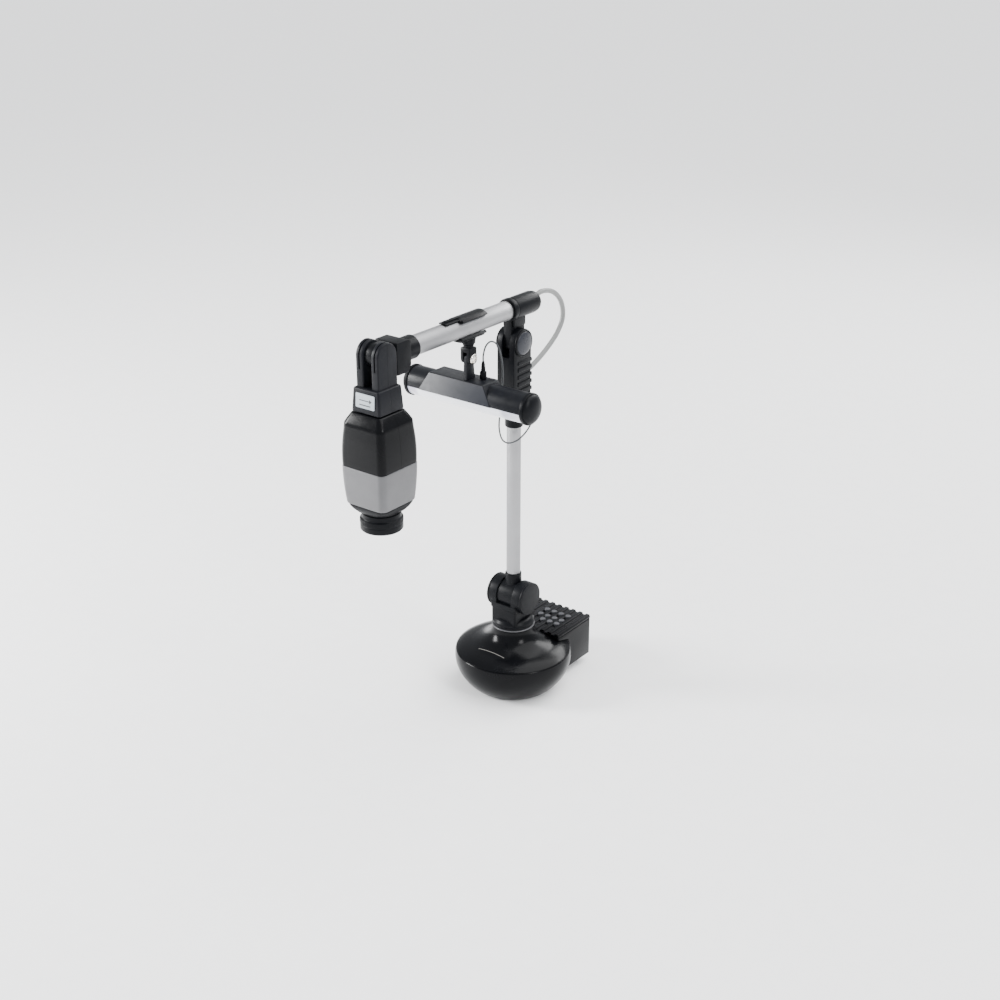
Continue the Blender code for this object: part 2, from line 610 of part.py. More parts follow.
def make_head():
    centre = (0, HEAD_Y)
    outer = ((BAND_TOP + GAP, 35.2, 9), (470, 34.4, 8.5), (495, 32.4, 8), (497, 31.6, 7.5), (HEAD_TOP, 24, 5))
    whole = loft("head_whole", [rounded_square(centre, half, radius, z) for z, half, radius in outer],
                 GLOSS_BLACK)
    inner = ((BAND_TOP - 5, 32.6, 7), (470, 31.8, 6.5), (494, 29.6, 6), (HEAD_TOP - WALL, 21.5, 4))
    hollow = loft("head_hollow", [rounded_square(centre, half, radius, z) for z, half, radius in inner],
                  GLOSS_BLACK)
    cut(whole, hollow)
    put_aside(whole)
    half_of("head_front_shell", whole, (-50, HEAD_Y - 50, 430), (50, HEAD_Y - 0.15, 520), GLOSS_BLACK)
    half_of("head_rear_shell", whole, (-50, HEAD_Y + 0.15, 430), (50, HEAD_Y + 50, 520), GLOSS_BLACK)
    band = loft("head_band",
                [rounded_square(centre, 32.8, 9.5, BAND_BOTTOM), rounded_square(centre, 35.5, 9, BAND_TOP)],
                BAND_GREY)
    cut(band, loft("band_hollow", [rounded_square(centre, 30.3, 7.5, BAND_BOTTOM - 2),
                                   rounded_square(centre, 33, 7, BAND_TOP + 2)], BAND_GREY))
    skirt = loft("lens_skirt",
                 [rounded_square(centre, 25, 24.5, SKIRT_BOTTOM), rounded_square(centre, 29.5, 16, 379),
                  rounded_square(centre, 31.6, 9, BAND_BOTTOM - GAP)], SATIN_BLACK)
    cut(skirt, cylinder("skirt_bore", "Z", (0, HEAD_Y, 0), 23.3, 360, 400, STEEL, 32))
    turned("lens_barrel", "Z", (0, HEAD_Y, 0),
           [(23, 425), (23, 366.3), (19, 366.3), (19, 425)], SATIN_BLACK, 32, ring=True)
    turned("focus_ring", "Z", (0, HEAD_Y, 0),
           [(25.4, 372.6), (25.4, 366), (27.4, 364.8), (27.4, LENS_BOTTOM + 1.5), (26, LENS_BOTTOM),
            (21.5, LENS_BOTTOM), (21.5, 366), (23.4, 366), (23.4, 372.6)], SATIN_BLACK, 32, ring=True)
    turned("lens_glass", "Z", (0, HEAD_Y, 0),
           [(0, 360), (21.2, 360), (21.2, 356), (12, 353.6), (0, 353)], GLASS, 32)
    box("sensor_board", (-20, HEAD_Y - 20, 428), (20, HEAD_Y + 20, 429.6), BOARD_GREEN)


def make_clip():
    """A C-shaped clip on the arm tube, open to +X, with a round boss below it."""
    centre = (0, ARM_Z)
    clip = flat("lamp_clip", sector(centre, ARM_RADIUS + 0.4, 16.6, 62, 298, 20), "Y", -127, -73, SATIN_BLACK)
    tab = flat("clip_tab", sector(centre, ARM_RADIUS + 0.4, 16, 70, 110, 5), "Y", -150, -120, SATIN_BLACK)
    pad = flat("clip_pad", sector(centre, 15.5, 18.4, 62, 118, 7), "Y", -122, -78, SATIN_BLACK)
    foot = flat("clip_foot", sector(centre, 15.5, 18.6, 242, 298, 7), "Y", -122, -78, SATIN_BLACK)
    boss = cylinder("clip_boss", "Z", (0, CLIP_Y, 0), 9, 547, 556, SATIN_BLACK, 20)
    join(clip, tab, pad, foot, boss)


def make_bracket():
    """The swivelling fork under the clip, with the screw that the lamp tilts on."""
    hinge = (CLIP_Y, LAMP_HINGE_Z)
    fork = flat("lamp_bracket", arc(hinge, 7.5, 180, 360, 11) + [(CLIP_Y + 7.5, 542), (CLIP_Y - 7.5, 542)],
                "X", -7.8, 7.8, SATIN_BLACK)
    join(fork, cylinder("bracket_stem", "Z", (0, CLIP_Y, 0), 7.4, 538, 546.7, SATIN_BLACK, 20))
    cut(fork, box("lug_room", (-3.4, CLIP_Y - 20, 500), (3.4, CLIP_Y + 20, 536), STEEL),
        cylinder("screw_room", "X", (0, CLIP_Y, LAMP_HINGE_Z), 2.3, -20, 20, STEEL, 12))
    turned("tilt_screw", "X", (0, CLIP_Y, LAMP_HINGE_Z),
           [(0, 10.6), (5, 10.3), (6, 9.4), (6, 8.1), (2, 8.1), (2, -9.5), (0, -9.5)], CHROME, 20)


def make_lamp():
    centre = (LAMP_Y, LAMP_Z)
    hood = loft("lamp_hood",
                [level(-77, 48, LAMP_Y - 22, LAMP_Y + 20.5, 470), level(-60, 31, -109, -77, HOOD_TOP)],
                HOOD_GREY)
    body = cylinder("lamp_round", "X", (0, LAMP_Y, LAMP_Z), LAMP_RADIUS, LAMP_LEFT, LAMP_RIGHT, HOOD_GREY, 32)
    lug = flat("hood_lug", arc((CLIP_Y, LAMP_HINGE_Z), 6.5, 180, 0, 9) + [(CLIP_Y + 10, HOOD_TOP - 1),
                                                                            (CLIP_Y - 8, HOOD_TOP - 1)],
               "X", -3, 3, HOOD_GREY)
    join(hood, body, lug)
    far = 60
    wedge = [centre] + [(LAMP_Y + far * math.cos(math.radians(a)), LAMP_Z + far * math.sin(math.radians(a)))
                        for a in (188, 255, 318)]
    cut(hood, cylinder("lamp_hollow", "X", (0, LAMP_Y, LAMP_Z), LAMP_RADIUS - 2, -130, 130, STEEL, 32),
        flat("lamp_window", wedge, "X", -130, 130, STEEL),
        cylinder("lug_screw_room", "X", (0, CLIP_Y, LAMP_HINGE_Z), 2.3, -20, 20, STEEL, 12),
        cylinder("plug_room", "Z", (PLUG_X, PLUG_Y, 0), 2.3, 485, 505, STEEL, 12))
    flat("lamp_diffuser", sector(centre, LAMP_RADIUS - 1.8, LAMP_RADIUS - 0.2, 190, 316, 15), "X", LAMP_LEFT,
         LAMP_RIGHT, DIFFUSER_WHITE)
    cylinder("lamp_tube", "X", (0, LAMP_Y, LAMP_Z), 8, LAMP_LEFT + 2, LAMP_RIGHT - 2, TUBE_WHITE, 20)
    for name, end, side in (("lamp_cap_left", LAMP_LEFT, -1), ("lamp_cap_right", LAMP_RIGHT, 1)):
        cap = turned(name, "X", (end, LAMP_Y, LAMP_Z),
                     [(0, 13.6), (9, 12.8), (16, 10.4), (20, 7.2), (21.5, 4.6), (21.5, GAP), (0, GAP)],
                     SATIN_BLACK, 32)
        if side < 0:
            cap.matrix_world = cap.matrix_world @ Matrix.Rotation(math.pi, 4, "X")


def level(x_low, x_high, y_low, y_high, z):
    """A rectangle as one level of a loft."""
    corners = ((x_low, y_low), (x_high, y_low), (x_high, y_high), (x_low, y_high))
    return [Vector((x, y, z)) * MM for x, y in corners]


def make_cords():
    turned("lamp_plug", "Z", (PLUG_X, PLUG_Y, 0),
           [(0, 522.3), (1.9, 522.3), (2.9, 509.5), (4.6, 508), (4.6, HOOD_TOP + GAP), (1.8, HOOD_TOP + GAP),
            (1.8, 495.5), (0, 495.5)], SATIN_BLACK, 16)
    cord("arm_cable", CABLE_ROUTE, CABLE_RADIUS, 11, CABLE_GREY)
    cord("lamp_wire", WIRE_ROUTE, WIRE_RADIUS, 6.5, WIRE_GREY)


BODIES = (
    ("base_swivel", (0, 0, NECK_TOP), None,
     ("turret_yoke", "swivel_shaft", "pole_hinge_axle", "hinge_cap_left", "hinge_cap_right")),
    ("pole_tilt", (0, 0, HINGE_Z), "base_swivel",
     ("pole_socket", "pole_tube", "elbow_housing", "elbow_axle", "elbow_cap_left", "elbow_cap_right",
      "cable_gland", "wire_gland")),
    ("elbow_tilt", (0, 0, ELBOW_Z), "pole_tilt", ("arm_knuckle", "arm_tube", "arm_end_block", "arm_cable")),
    ("head_tilt", (0, HEAD_Y, TILT_Z), "elbow_tilt",
     ("fork_front_shell", "fork_rear_shell", "tilt_pin", "label_plate")),
    ("head_rotation", (0, HEAD_Y, HEAD_TOP), "head_tilt",
     ("head_front_shell", "head_rear_shell", "head_band", "lens_skirt", "lens_barrel", "sensor_board")),
    ("focus_turn", (0, HEAD_Y, LENS_BOTTOM), "head_rotation", ("focus_ring", "lens_glass")),
    ("clip_slide", (0, CLIP_Y, ARM_Z), "elbow_tilt", ("lamp_clip",)),
    ("lamp_swivel", (0, CLIP_Y, LAMP_HINGE_Z + 20), "clip_slide", ("lamp_bracket", "tilt_screw")),
    ("lamp_tilt", (0, CLIP_Y, LAMP_HINGE_Z), "lamp_swivel",
     ("lamp_hood", "lamp_diffuser", "lamp_tube", "lamp_cap_left", "lamp_cap_right", "lamp_plug",
      "lamp_wire")),
)


def hang_on_joints():
    """Parents each moving piece to an empty on its joint's axis, in one chain from the base."""
    empties = {}
    for joint, at, parent, names in BODIES:
        empty = bpy.data.objects.new(joint + "_axis", None)
        PARTS.objects.link(empty)
        empty.location = Vector(at) * MM
        empties[joint] = (empty, Vector(at) * MM)
        if parent:
            empty.parent = empties[parent][0]
            empty.location = (Vector(at) * MM) - empties[parent][1]
        for name in names:
            piece = bpy.data.objects[name]
            piece.parent = empty
            piece.matrix_parent_inverse = Matrix.Translation(-Vector(at) * MM)


def main():
    outline = make_base()
    make_control_box(outline)
    make_turret()
    make_pole()
    make_elbow()
    make_arm()
    make_fork()
    make_head()
    make_clip()
    make_bracket()
    make_lamp()
    make_cords()
    bpy.context.view_layer.update()
    hang_on_joints()


main()
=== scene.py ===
"""The looks of the document camera: a fine surface for each piece that shows, its materials, the two
cords, the studio floor, the lights and the camera. Lengths are in millimetres, and are scaled by MM when
a mesh is made.
"""
import json
import math

import bmesh
import bpy
from mathutils import Matrix, Vector

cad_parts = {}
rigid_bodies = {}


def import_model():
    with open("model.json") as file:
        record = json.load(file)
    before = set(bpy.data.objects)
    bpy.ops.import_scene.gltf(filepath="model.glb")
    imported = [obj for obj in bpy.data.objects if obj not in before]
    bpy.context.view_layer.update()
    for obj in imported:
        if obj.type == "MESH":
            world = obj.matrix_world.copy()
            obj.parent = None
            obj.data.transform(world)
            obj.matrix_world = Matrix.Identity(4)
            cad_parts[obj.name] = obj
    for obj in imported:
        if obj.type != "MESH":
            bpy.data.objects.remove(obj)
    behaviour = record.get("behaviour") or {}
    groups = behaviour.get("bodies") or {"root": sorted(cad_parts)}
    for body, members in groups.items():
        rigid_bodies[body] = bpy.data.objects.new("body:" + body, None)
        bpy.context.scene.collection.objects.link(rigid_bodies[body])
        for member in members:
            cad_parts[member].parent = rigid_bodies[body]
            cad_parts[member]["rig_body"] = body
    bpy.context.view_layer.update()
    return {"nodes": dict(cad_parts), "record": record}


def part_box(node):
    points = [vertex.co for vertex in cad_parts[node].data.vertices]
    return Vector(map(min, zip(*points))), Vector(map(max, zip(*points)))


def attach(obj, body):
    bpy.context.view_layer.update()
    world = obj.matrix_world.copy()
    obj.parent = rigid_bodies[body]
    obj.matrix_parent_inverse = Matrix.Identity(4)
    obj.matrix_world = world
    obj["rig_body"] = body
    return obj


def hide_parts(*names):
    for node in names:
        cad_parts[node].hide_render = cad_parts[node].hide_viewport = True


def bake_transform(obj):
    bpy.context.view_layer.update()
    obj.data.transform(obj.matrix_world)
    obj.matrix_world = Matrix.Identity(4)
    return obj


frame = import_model()

MM = 0.001
BODY_OF = {node: obj["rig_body"] for node, obj in frame["nodes"].items()}
SLOT_OF = {part["node"]: part["material_slot"] for part in frame["record"]["subparts"]}


def low(node, axis):
    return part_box(node)[0]["XYZ".index(axis)] / MM


def high(node, axis):
    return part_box(node)[1]["XYZ".index(axis)] / MM


def middle(node, axis):
    return (low(node, axis) + high(node, axis)) / 2


# Places and sizes that the pieces share, read from the frame where it holds them
NECK_TOP = high("base_top_cover", "Z")
CREASE_Z = low("base_top_cover", "Z")
HINGE_Z = middle("hinge_cap_left", "Z")
ELBOW_Z = middle("elbow_cap_left", "Z")
ARM_Z = middle("arm_tube", "Z")
ARM_RADIUS = (high("arm_tube", "Z") - low("arm_tube", "Z")) / 2
POLE_RADIUS = (high("pole_tube", "X") - low("pole_tube", "X")) / 2
HEAD_Y = middle("head_band", "Y")
TILT_Z = middle("tilt_pin", "Z")
HEAD_TOP = high("head_front_shell", "Z")
BAND_TOP = high("head_band", "Z")
BAND_BOTTOM = low("head_band", "Z")
LENS_BOTTOM = low("focus_ring", "Z")
CLIP_Y = middle("tilt_screw", "Y")
LAMP_HINGE_Z = middle("tilt_screw", "Z")
LAMP_Y = middle("lamp_cap_left", "Y")
LAMP_Z = middle("lamp_cap_left", "Z")
LAMP_LEFT = low("lamp_diffuser", "X")
LAMP_RIGHT = high("lamp_diffuser", "X")
HOOD_TOP = low("lamp_plug", "Z") + 2.5
HOUSING_HALF = (high("elbow_housing", "X") - low("elbow_housing", "X")) / 2
FORK_HALF = 18.0
TONGUE_HALF = 6.2
SLOT_HALF = 6.6
POLE_BORE = 10.3
PLUG_AT = (middle("lamp_plug", "X"), middle("lamp_plug", "Y"))
PLUG_TOP = high("lamp_plug", "Z")

# The cords' free routes, from end to end, as in the CAD source
CABLE_ROUTE = ((0, 49, 577.5), (0, 60, 580), (0, 78, 577.5), (0, 94, 570), (0, 107, 557), (0, 113, 541),
               (0, 111, 526), (0, 98, 510), (0, 79, 497), (0, 60, 487), (0, 42, 479.5), (0, 29.5, 475.6))
WIRE_ROUTE = ((15.5, -88, 522.6), (16, -88, 532), (19.5, -87, 544), (25, -83, 550), (30, -76, 544),
              (31, -69, 525), (30, -65, 500), (27, -64, 472), (23, -62, 445), (18, -57, 420), (16, -47, 400),
              (17, -32, 391), (21, -15, 393), (26, -2, 405), (28.5, 6, 420), (26.5, 8, 432), (21.2, 8, 436))
CABLE_RADIUS = 3.5
WIRE_RADIUS = 1.1


# Materials

def noise_field(nodes, links, source, scale, detail, stretch=(1, 1, 1)):
    """A noise over the object's own space, drawn out along the axes where stretch is under 1."""
    mapping = nodes.new("ShaderNodeMapping")
    mapping.inputs["Scale"].default_value = stretch
    noise = nodes.new("ShaderNodeTexNoise")
    noise.inputs["Scale"].default_value = scale
    noise.inputs["Detail"].default_value = detail
    links.new(source.outputs["Object"], mapping.inputs["Vector"])
    links.new(mapping.outputs["Vector"], noise.inputs["Vector"])
    return noise.outputs["Fac"]


def to_range(nodes, links, field, lowest, highest):
    scaled = nodes.new("ShaderNodeMapRange")
    scaled.inputs["From Min"].default_value = 0.3
    scaled.inputs["From Max"].default_value = 0.7
    scaled.inputs["To Min"].default_value = lowest
    scaled.inputs["To Max"].default_value = highest
    links.new(field, scaled.inputs["Value"])
    return scaled.outputs["Result"]


def surface(name, colour, roughness, metallic=0.0, drift=0.18, gloss_drift=0.05, grain=0.12, grain_size=0.7,
            stretch=(1, 1, 1), turned_about=None, **constants):
    """A finish with a slow drift of colour, an uneven gloss and a fine grain, its size in millimetres.
    Constants are set on the shader's own sockets."""
    material = bpy.data.materials.new("look_" + name)
    material.use_nodes = True
    nodes, links = material.node_tree.nodes, material.node_tree.links
    shader = nodes["Principled BSDF"]
    shader.inputs["Metallic"].default_value = metallic
    for socket, value in constants.items():
        shader.inputs[socket.replace("_", " ")].default_value = value
    source = nodes.new("ShaderNodeTexCoord")
    tint = nodes.new("ShaderNodeMix")
    tint.data_type = "RGBA"
    tint.inputs["A"].default_value = (*[channel * (1 - drift) for channel in colour], 1)
    tint.inputs["B"].default_value = (*[min(1, channel * (1 + drift)) for channel in colour], 1)
    cloud = noise_field(nodes, links, source, 35, 4)
    links.new(to_range(nodes, links, cloud, 0, 1), tint.inputs["Factor"])
    links.new(tint.outputs["Result"], shader.inputs["Base Color"])
    smear = noise_field(nodes, links, source, 160, 5, stretch)
    gloss = to_range(nodes, links, smear, max(0.02, roughness - gloss_drift), roughness + gloss_drift)
    links.new(gloss, shader.inputs["Roughness"])
    bump = nodes.new("ShaderNodeBump")
    bump.inputs["Strength"].default_value = grain
    bump.inputs["Distance"].default_value = 0.0002
    fine = noise_field(nodes, links, source, 1 / (grain_size * MM), 2, stretch)
    links.new(fine, bump.inputs["Height"])
    links.new(bump.outputs["Normal"], shader.inputs["Normal"])
    if turned_about:
        tangent = nodes.new("ShaderNodeTangent")
        tangent.direction_type = "RADIAL"
        tangent.axis = turned_about
        links.new(tangent.outputs["Tangent"], shader.inputs["Tangent"])
    return material


def aluminium(name, axis):
    """A drawn tube, with its fine lines along axis."""
    stretch = [0.012 if axis == other else 1 for other in "XYZ"]
    return surface(name, (0.3, 0.3, 0.308), 0.4, metallic=1.0, drift=0.05, grain=0.16, grain_size=0.35,
                   stretch=stretch, turned_about=axis, Anisotropic=0.85)


def diffuser_material():
    """Milky plastic over a lit white reflector, with painted shade making it darker towards both ends of the
    tube, where it is also tinted lilac.
    """
    material = surface("diffuser", (0.6, 0.61, 0.66), 0.14, drift=0.03, grain=0.05, grain_size=1.2,
                       Coat_Weight=0.6, Emission_Color=(0.93, 0.95, 1.0, 1.0), Emission_Strength=0.2)
    nodes, links = material.node_tree.nodes, material.node_tree.links
    source = nodes.new("ShaderNodeTexCoord")
    split = nodes.new("ShaderNodeSeparateXYZ")
    ramp = nodes.new("ShaderNodeValToRGB")
    along = nodes.new("ShaderNodeMapRange")
    along.inputs["From Min"].default_value = LAMP_LEFT * MM
    along.inputs["From Max"].default_value = LAMP_RIGHT * MM
    # Painted shade: the colour darkens towards both ends of the lamp, with a lilac tint there
    painted_shade_stops = ((0.0, (0.3, 0.3, 0.38)), (0.07, (0.4, 0.38, 0.48)), (0.1, (0.75, 0.77, 0.82)),
             (0.82, (0.75, 0.77, 0.82)), (0.86, (0.36, 0.36, 0.46)), (1.0, (0.55, 0.55, 0.6)))
    for index, (place, colour) in enumerate(painted_shade_stops):
        stop = ramp.color_ramp.elements[index] if index < 2 else ramp.color_ramp.elements.new(place)
        stop.position = place
        stop.color = (*colour, 1)
    links.new(source.outputs["Object"], split.inputs["Vector"])
    links.new(split.outputs["X"], along.inputs["Value"])
    links.new(along.outputs["Result"], ramp.inputs["Fac"])
    links.new(ramp.outputs["Color"], nodes["Principled BSDF"].inputs["Base Color"])
    return material


def board_material():
    """Solder mask with paler copper tracks under it."""
    material = surface("board", (0.012, 0.09, 0.035), 0.35, drift=0.3)
    nodes, links = material.node_tree.nodes, material.node_tree.links
    source = nodes.new("ShaderNodeTexCoord")
    tracks = nodes.new("ShaderNodeTexBrick")
    tracks.inputs["Scale"].default_value = 120
    tracks.inputs["Color1"].default_value = (0.012, 0.09, 0.035, 1)
    tracks.inputs["Color2"].default_value = (0.015, 0.11, 0.04, 1)
    tracks.inputs["Mortar"].default_value = (0.05, 0.2, 0.06, 1)
    links.new(source.outputs["Object"], tracks.inputs["Vector"])
    links.new(tracks.outputs["Color"], nodes["Principled BSDF"].inputs["Base Color"])
    return material


GLOSS_BLACK = surface("gloss_black", (0.0022, 0.0024, 0.003), 0.2, grain=0.04, grain_size=0.9,
                      gloss_drift=0.03, Specular_IOR_Level=0.09)
PANEL_BLACK = surface("panel_black", (0.003, 0.0032, 0.004), 0.3, grain=0.08, Specular_IOR_Level=0.09)
SATIN_BLACK = surface("satin_black", (0.0036, 0.004, 0.005), 0.36, grain=0.14, grain_size=0.5,
                      Specular_IOR_Level=0.08)
CHARCOAL = surface("charcoal", (0.006, 0.0065, 0.0085), 0.38, grain=0.16, grain_size=0.5,
                   Specular_IOR_Level=0.1)
HOOD_GREY = surface("hood_grey", (0.005, 0.0056, 0.0075), 0.36, grain=0.14, grain_size=0.5,
                    Specular_IOR_Level=0.13)
# Painted sheen: a lighter grey copy of the hood's plastic for its sloping front face, standing in for the
# light that face catches
HOOD_FRONT_PAINTED_SHEEN = surface("hood_front_painted_sheen", (0.011, 0.0125, 0.018), 0.42, grain=0.16, grain_size=0.5,
                     Specular_IOR_Level=0.3)
DOME_GREY = surface("dome_grey", (0.016, 0.0175, 0.023), 0.3, grain=0.08, grain_size=0.6,
                    Specular_IOR_Level=0.25)
BAND_GREY = surface("band_grey", (0.095, 0.095, 0.099), 0.42, metallic=0.25, drift=0.08, grain=0.22,
                    grain_size=0.22)
TUBE_Z = aluminium("aluminium_upright", "Z")
TUBE_Y = aluminium("aluminium_level", "Y")
STEEL = surface("steel", (0.4, 0.4, 0.41), 0.3, metallic=1.0, grain=0.2, grain_size=0.4, stretch=(0.05, 1, 1))
CHROME = surface("chrome", (0.78, 0.74, 0.68), 0.1, metallic=1.0, drift=0.05, gloss_drift=0.03, grain=0.03)
IRON = surface("cast_iron", (0.06, 0.06, 0.06), 0.7, metallic=0.7, drift=0.4, grain=0.8, grain_size=2.0)
RUBBER = surface("rubber", (0.012, 0.012, 0.012), 0.8, drift=0.3, grain=0.4, grain_size=1.0)
KEY_GREY = surface("key_grey", (0.028, 0.029, 0.034), 0.45, grain=0.2, grain_size=0.5)
LABEL_GREY = surface("label_grey", (0.36, 0.4, 0.43), 0.42, drift=0.05, grain=0.15, grain_size=0.3)
INK = surface("ink", (0.01, 0.011, 0.013), 0.5, grain=0.05)
PALE_LINE = surface("pale_line", (0.13, 0.125, 0.115), 0.4, drift=0.1, grain=0.1)
SWIVEL_GREY = surface("swivel_grey", (0.05, 0.05, 0.055), 0.35, drift=0.1, grain=0.1)
CABLE_GREY = surface("cable_grey", (0.17, 0.173, 0.17), 0.4, drift=0.06, grain=0.1, grain_size=1.1)
WIRE_GREY = surface("wire_grey", (0.02, 0.023, 0.026), 0.4, drift=0.1, grain=0.1)
DIFFUSER = diffuser_material()
TUBE_WHITE = surface("tube_white", (0.85, 0.85, 0.82), 0.25, drift=0.03)
LENS_GLASS = surface("lens_glass", (0.004, 0.003, 0.008), 0.04, drift=0.5, gloss_drift=0.01, grain=0.0,
                     Coat_Weight=1.0, Coat_Tint=(0.5, 0.35, 0.9, 1.0))
BOARD = board_material()

FINISH_OF_SLOT = {
    "gloss_black": GLOSS_BLACK, "satin_black": SATIN_BLACK, "charcoal": CHARCOAL, "hood_grey": HOOD_GREY,
    "band_grey": BAND_GREY, "aluminium": TUBE_Z, "steel": STEEL, "chrome": CHROME, "cast_iron": IRON,
    "rubber": RUBBER, "button_grey": KEY_GREY, "label_grey": LABEL_GREY, "cable_grey": CABLE_GREY,
    "wire_grey": WIRE_GREY, "diffuser_white": DIFFUSER, "tube_white": TUBE_WHITE, "lens_glass": LENS_GLASS,
    "board_green": BOARD,
}


# Shapes

ORIGIN = (0, 0, 0)


def shade(mesh, sharp):
    mesh.shade_smooth()
    mesh.set_sharp_from_angle(angle=math.radians(sharp))


def added(name, data):
    obj = bpy.data.objects.new(name, data)
    bpy.context.scene.collection.objects.link(obj)
    return obj


def piece_from(name, bm, finish, sharp=38):
    bmesh.ops.recalc_face_normals(bm, faces=bm.faces)
    mesh = bpy.data.meshes.new(name)
    bm.to_mesh(mesh)
    bm.free()
    shade(mesh, sharp)
    mesh.materials.append(finish)
    return added(name, mesh)


def turn_to(axis, centre):
    """Takes (across, up, along) to the world: to Y, Z and X for axis X, and to Z, X and Y for axis Y."""
    columns = {
        "X": ((0, 1, 0), (0, 0, 1), (1, 0, 0)),
        "Y": ((0, 0, 1), (1, 0, 0), (0, 1, 0)),
        "Z": ((1, 0, 0), (0, 1, 0), (0, 0, 1)),
    }[axis]
    return Matrix.Translation(Vector(centre)) @ Matrix(columns).transposed().to_4x4()


def bridge(bm, first, second):
    """Faces between two rings of equal count, either of which may be a single point."""
    count = max(len(first), len(second))
    for index in range(count):
        following = (index + 1) % count
        corners = [first[index % len(first)], first[following % len(first)],
                   second[following % len(second)], second[index % len(second)]]
        unique = list(dict.fromkeys(corners))
        if len(unique) > 2:
            bm.faces.new(unique)


def eased(points, radius, steps=3, closed=False):
    """The outline with each corner rounded, starting up to radius from the corner."""
    result = []
    for index, point in enumerate(points):
        corner = Vector(point)
        if not closed and index in (0, len(points) - 1):
            result.append(tuple(corner))
            continue
        into = Vector(points[index - 1]) - corner
        out = Vector(points[(index + 1) % len(points)]) - corner
        reach = min(radius, into.length * 0.45, out.length * 0.45)
        if into.angle(-out) < math.radians(14) or reach < 0.02:
            result.append(tuple(corner))
            continue
        first, last = corner + into.normalized() * reach, corner + out.normalized() * reach
        for step in range(steps + 1):
            t = step / steps
            result.append(tuple((1 - t) ** 2 * first + 2 * t * (1 - t) * corner + t * t * last))
    return result


def turned(name, axis, centre, profile, finish=SATIN_BLACK, sides=96, ring=False, ease=0.4, flip=False):
    """Turns (radius, height) points about axis. A ring closes the profile on itself."""
    turn = turn_to(axis, centre)
    bm = bmesh.new()
    rings = []
    for radius, height in eased(profile, ease, closed=ring):
        height = -height if flip else height
        if radius < 1e-4:
            rings.append([bm.verts.new(turn @ Vector((0, 0, height)) * MM)])
            continue
        angles = [2 * math.pi * step / sides for step in range(sides)]
        rings.append([bm.verts.new(turn @ Vector((radius * math.cos(a), radius * math.sin(a), height)) * MM)
                      for a in angles])
    for first, second in zip(rings, rings[1:] + (rings[:1] if ring else [])):
        bridge(bm, first, second)
    return piece_from(name, bm, finish)


def loft(name, levels, finish, sharp=38):
    """A closed solid through levels of equal point count."""
    bm = bmesh.new()
    rings = [[bm.verts.new(Vector(point) * MM) for point in level] for level in levels]
    for first, second in zip(rings, rings[1:]):
        bridge(bm, first, second)
    bm.faces.new(rings[0])
    bm.faces.new(rings[-1])
    return piece_from(name, bm, finish, sharp)


def inset(outline, distance):
    """The outline moved inwards at right angles to itself; it runs anticlockwise."""
    moved = []
    for index, point in enumerate(outline):
        corner = Vector(point)
        into = (corner - Vector(outline[index - 1])).normalized()
        out = (Vector(outline[(index + 1) % len(outline)]) - corner).normalized()
        normal = Vector((-into.y - out.y, into.x + out.x))
        if normal.length < 1e-6:
            normal = Vector((-into.y, into.x))
        normal.normalize()
        square = max(0.5, normal.dot(Vector((-into.y, into.x))))
        moved.append(tuple(corner + normal * distance / square))
    return moved


def prism(name, outline, axis, start, end, finish=SATIN_BLACK, rim=0.6, steps=3, ease=0.0):
    """An outline of (across, up) points carried along axis, with rounded rims. Across and up are Y and Z
    for axis X, X and Z for axis Y, and X and Y for axis Z."""
    if ease:
        outline = eased(outline, ease, closed=True)
    area = sum(a[0] * b[1] - b[0] * a[1] for a, b in zip(outline, outline[1:] + outline[:1]))
    if area < 0:
        outline = outline[::-1]
    place = {"X": lambda a, u, h: (h, a, u), "Y": lambda a, u, h: (a, h, u), "Z": lambda a, u,
             h: (a, u, h)}[axis]
    turns = [math.pi / 2 * step / steps for step in range(steps + 1)]
    rounds = [(rim * (1 - math.sin(turn)), rim * (1 - math.cos(turn))) for turn in turns] if rim else [(0, 0)]
    levels = [(way, start + rise) for way, rise in rounds] + [(way, end - rise) for way,
                                                              rise in reversed(rounds)]
    return loft(name, [[place(a, u, height) for a, u in inset(outline, way)] for way, height in levels],
                finish)


def arc(centre, radius, start, end, count):
    turns = [math.radians(start + (end - start) * step / (count - 1)) for step in range(count)]
    return [(centre[0] + radius * math.cos(turn), centre[1] + radius * math.sin(turn)) for turn in turns]


def sector(centre, inner, outer, start, end, count=40):
    return arc(centre, outer, start, end, count) + arc(centre, inner, end, start, count)


def block(name, lowest, highest, finish=SATIN_BLACK, rim=0.8):
    """A box with every edge rounded."""
    outline = [(lowest[0], lowest[1]), (highest[0], lowest[1]), (highest[0], highest[1]),
               (lowest[0], highest[1])]
    return prism(name, outline, "Z", lowest[2], highest[2], finish, rim=rim, ease=rim * 1.6)


def drill(axis, centre, radius, start, end, sides=96):
    """A plain round bar, for cutting a bore."""
    return turned("drill", axis, centre, [(0, start), (radius, start), (radius, end), (0, end)], sides=sides,
                  ease=0)


def dome_outline(radius, base, rise, steps, foot):
    """A dome's (radius, height) points from its crown down to its rim, closed by a flat foot."""
    turns = [math.pi / 2 * step / steps for step in range(steps, -1, -1)]
    dome = [(radius * math.cos(turn), base + rise * math.sin(turn)) for turn in turns]
    dome[0] = (0, dome[0][1])
    return dome + [(radius, foot), (0, foot)]


def pipe(name, node, axis, centre, radius, wall, finish):
    """A bright tube in place of a CAD tube of the same length."""
    ends = [(radius, high(node, axis)), (radius, low(node, axis))]
    inner = [(radius - wall, height) for _, height in reversed(ends)]
    stand_for(turned(name, axis, centre, ends + inner, finish, ring=True, ease=0.3), node)


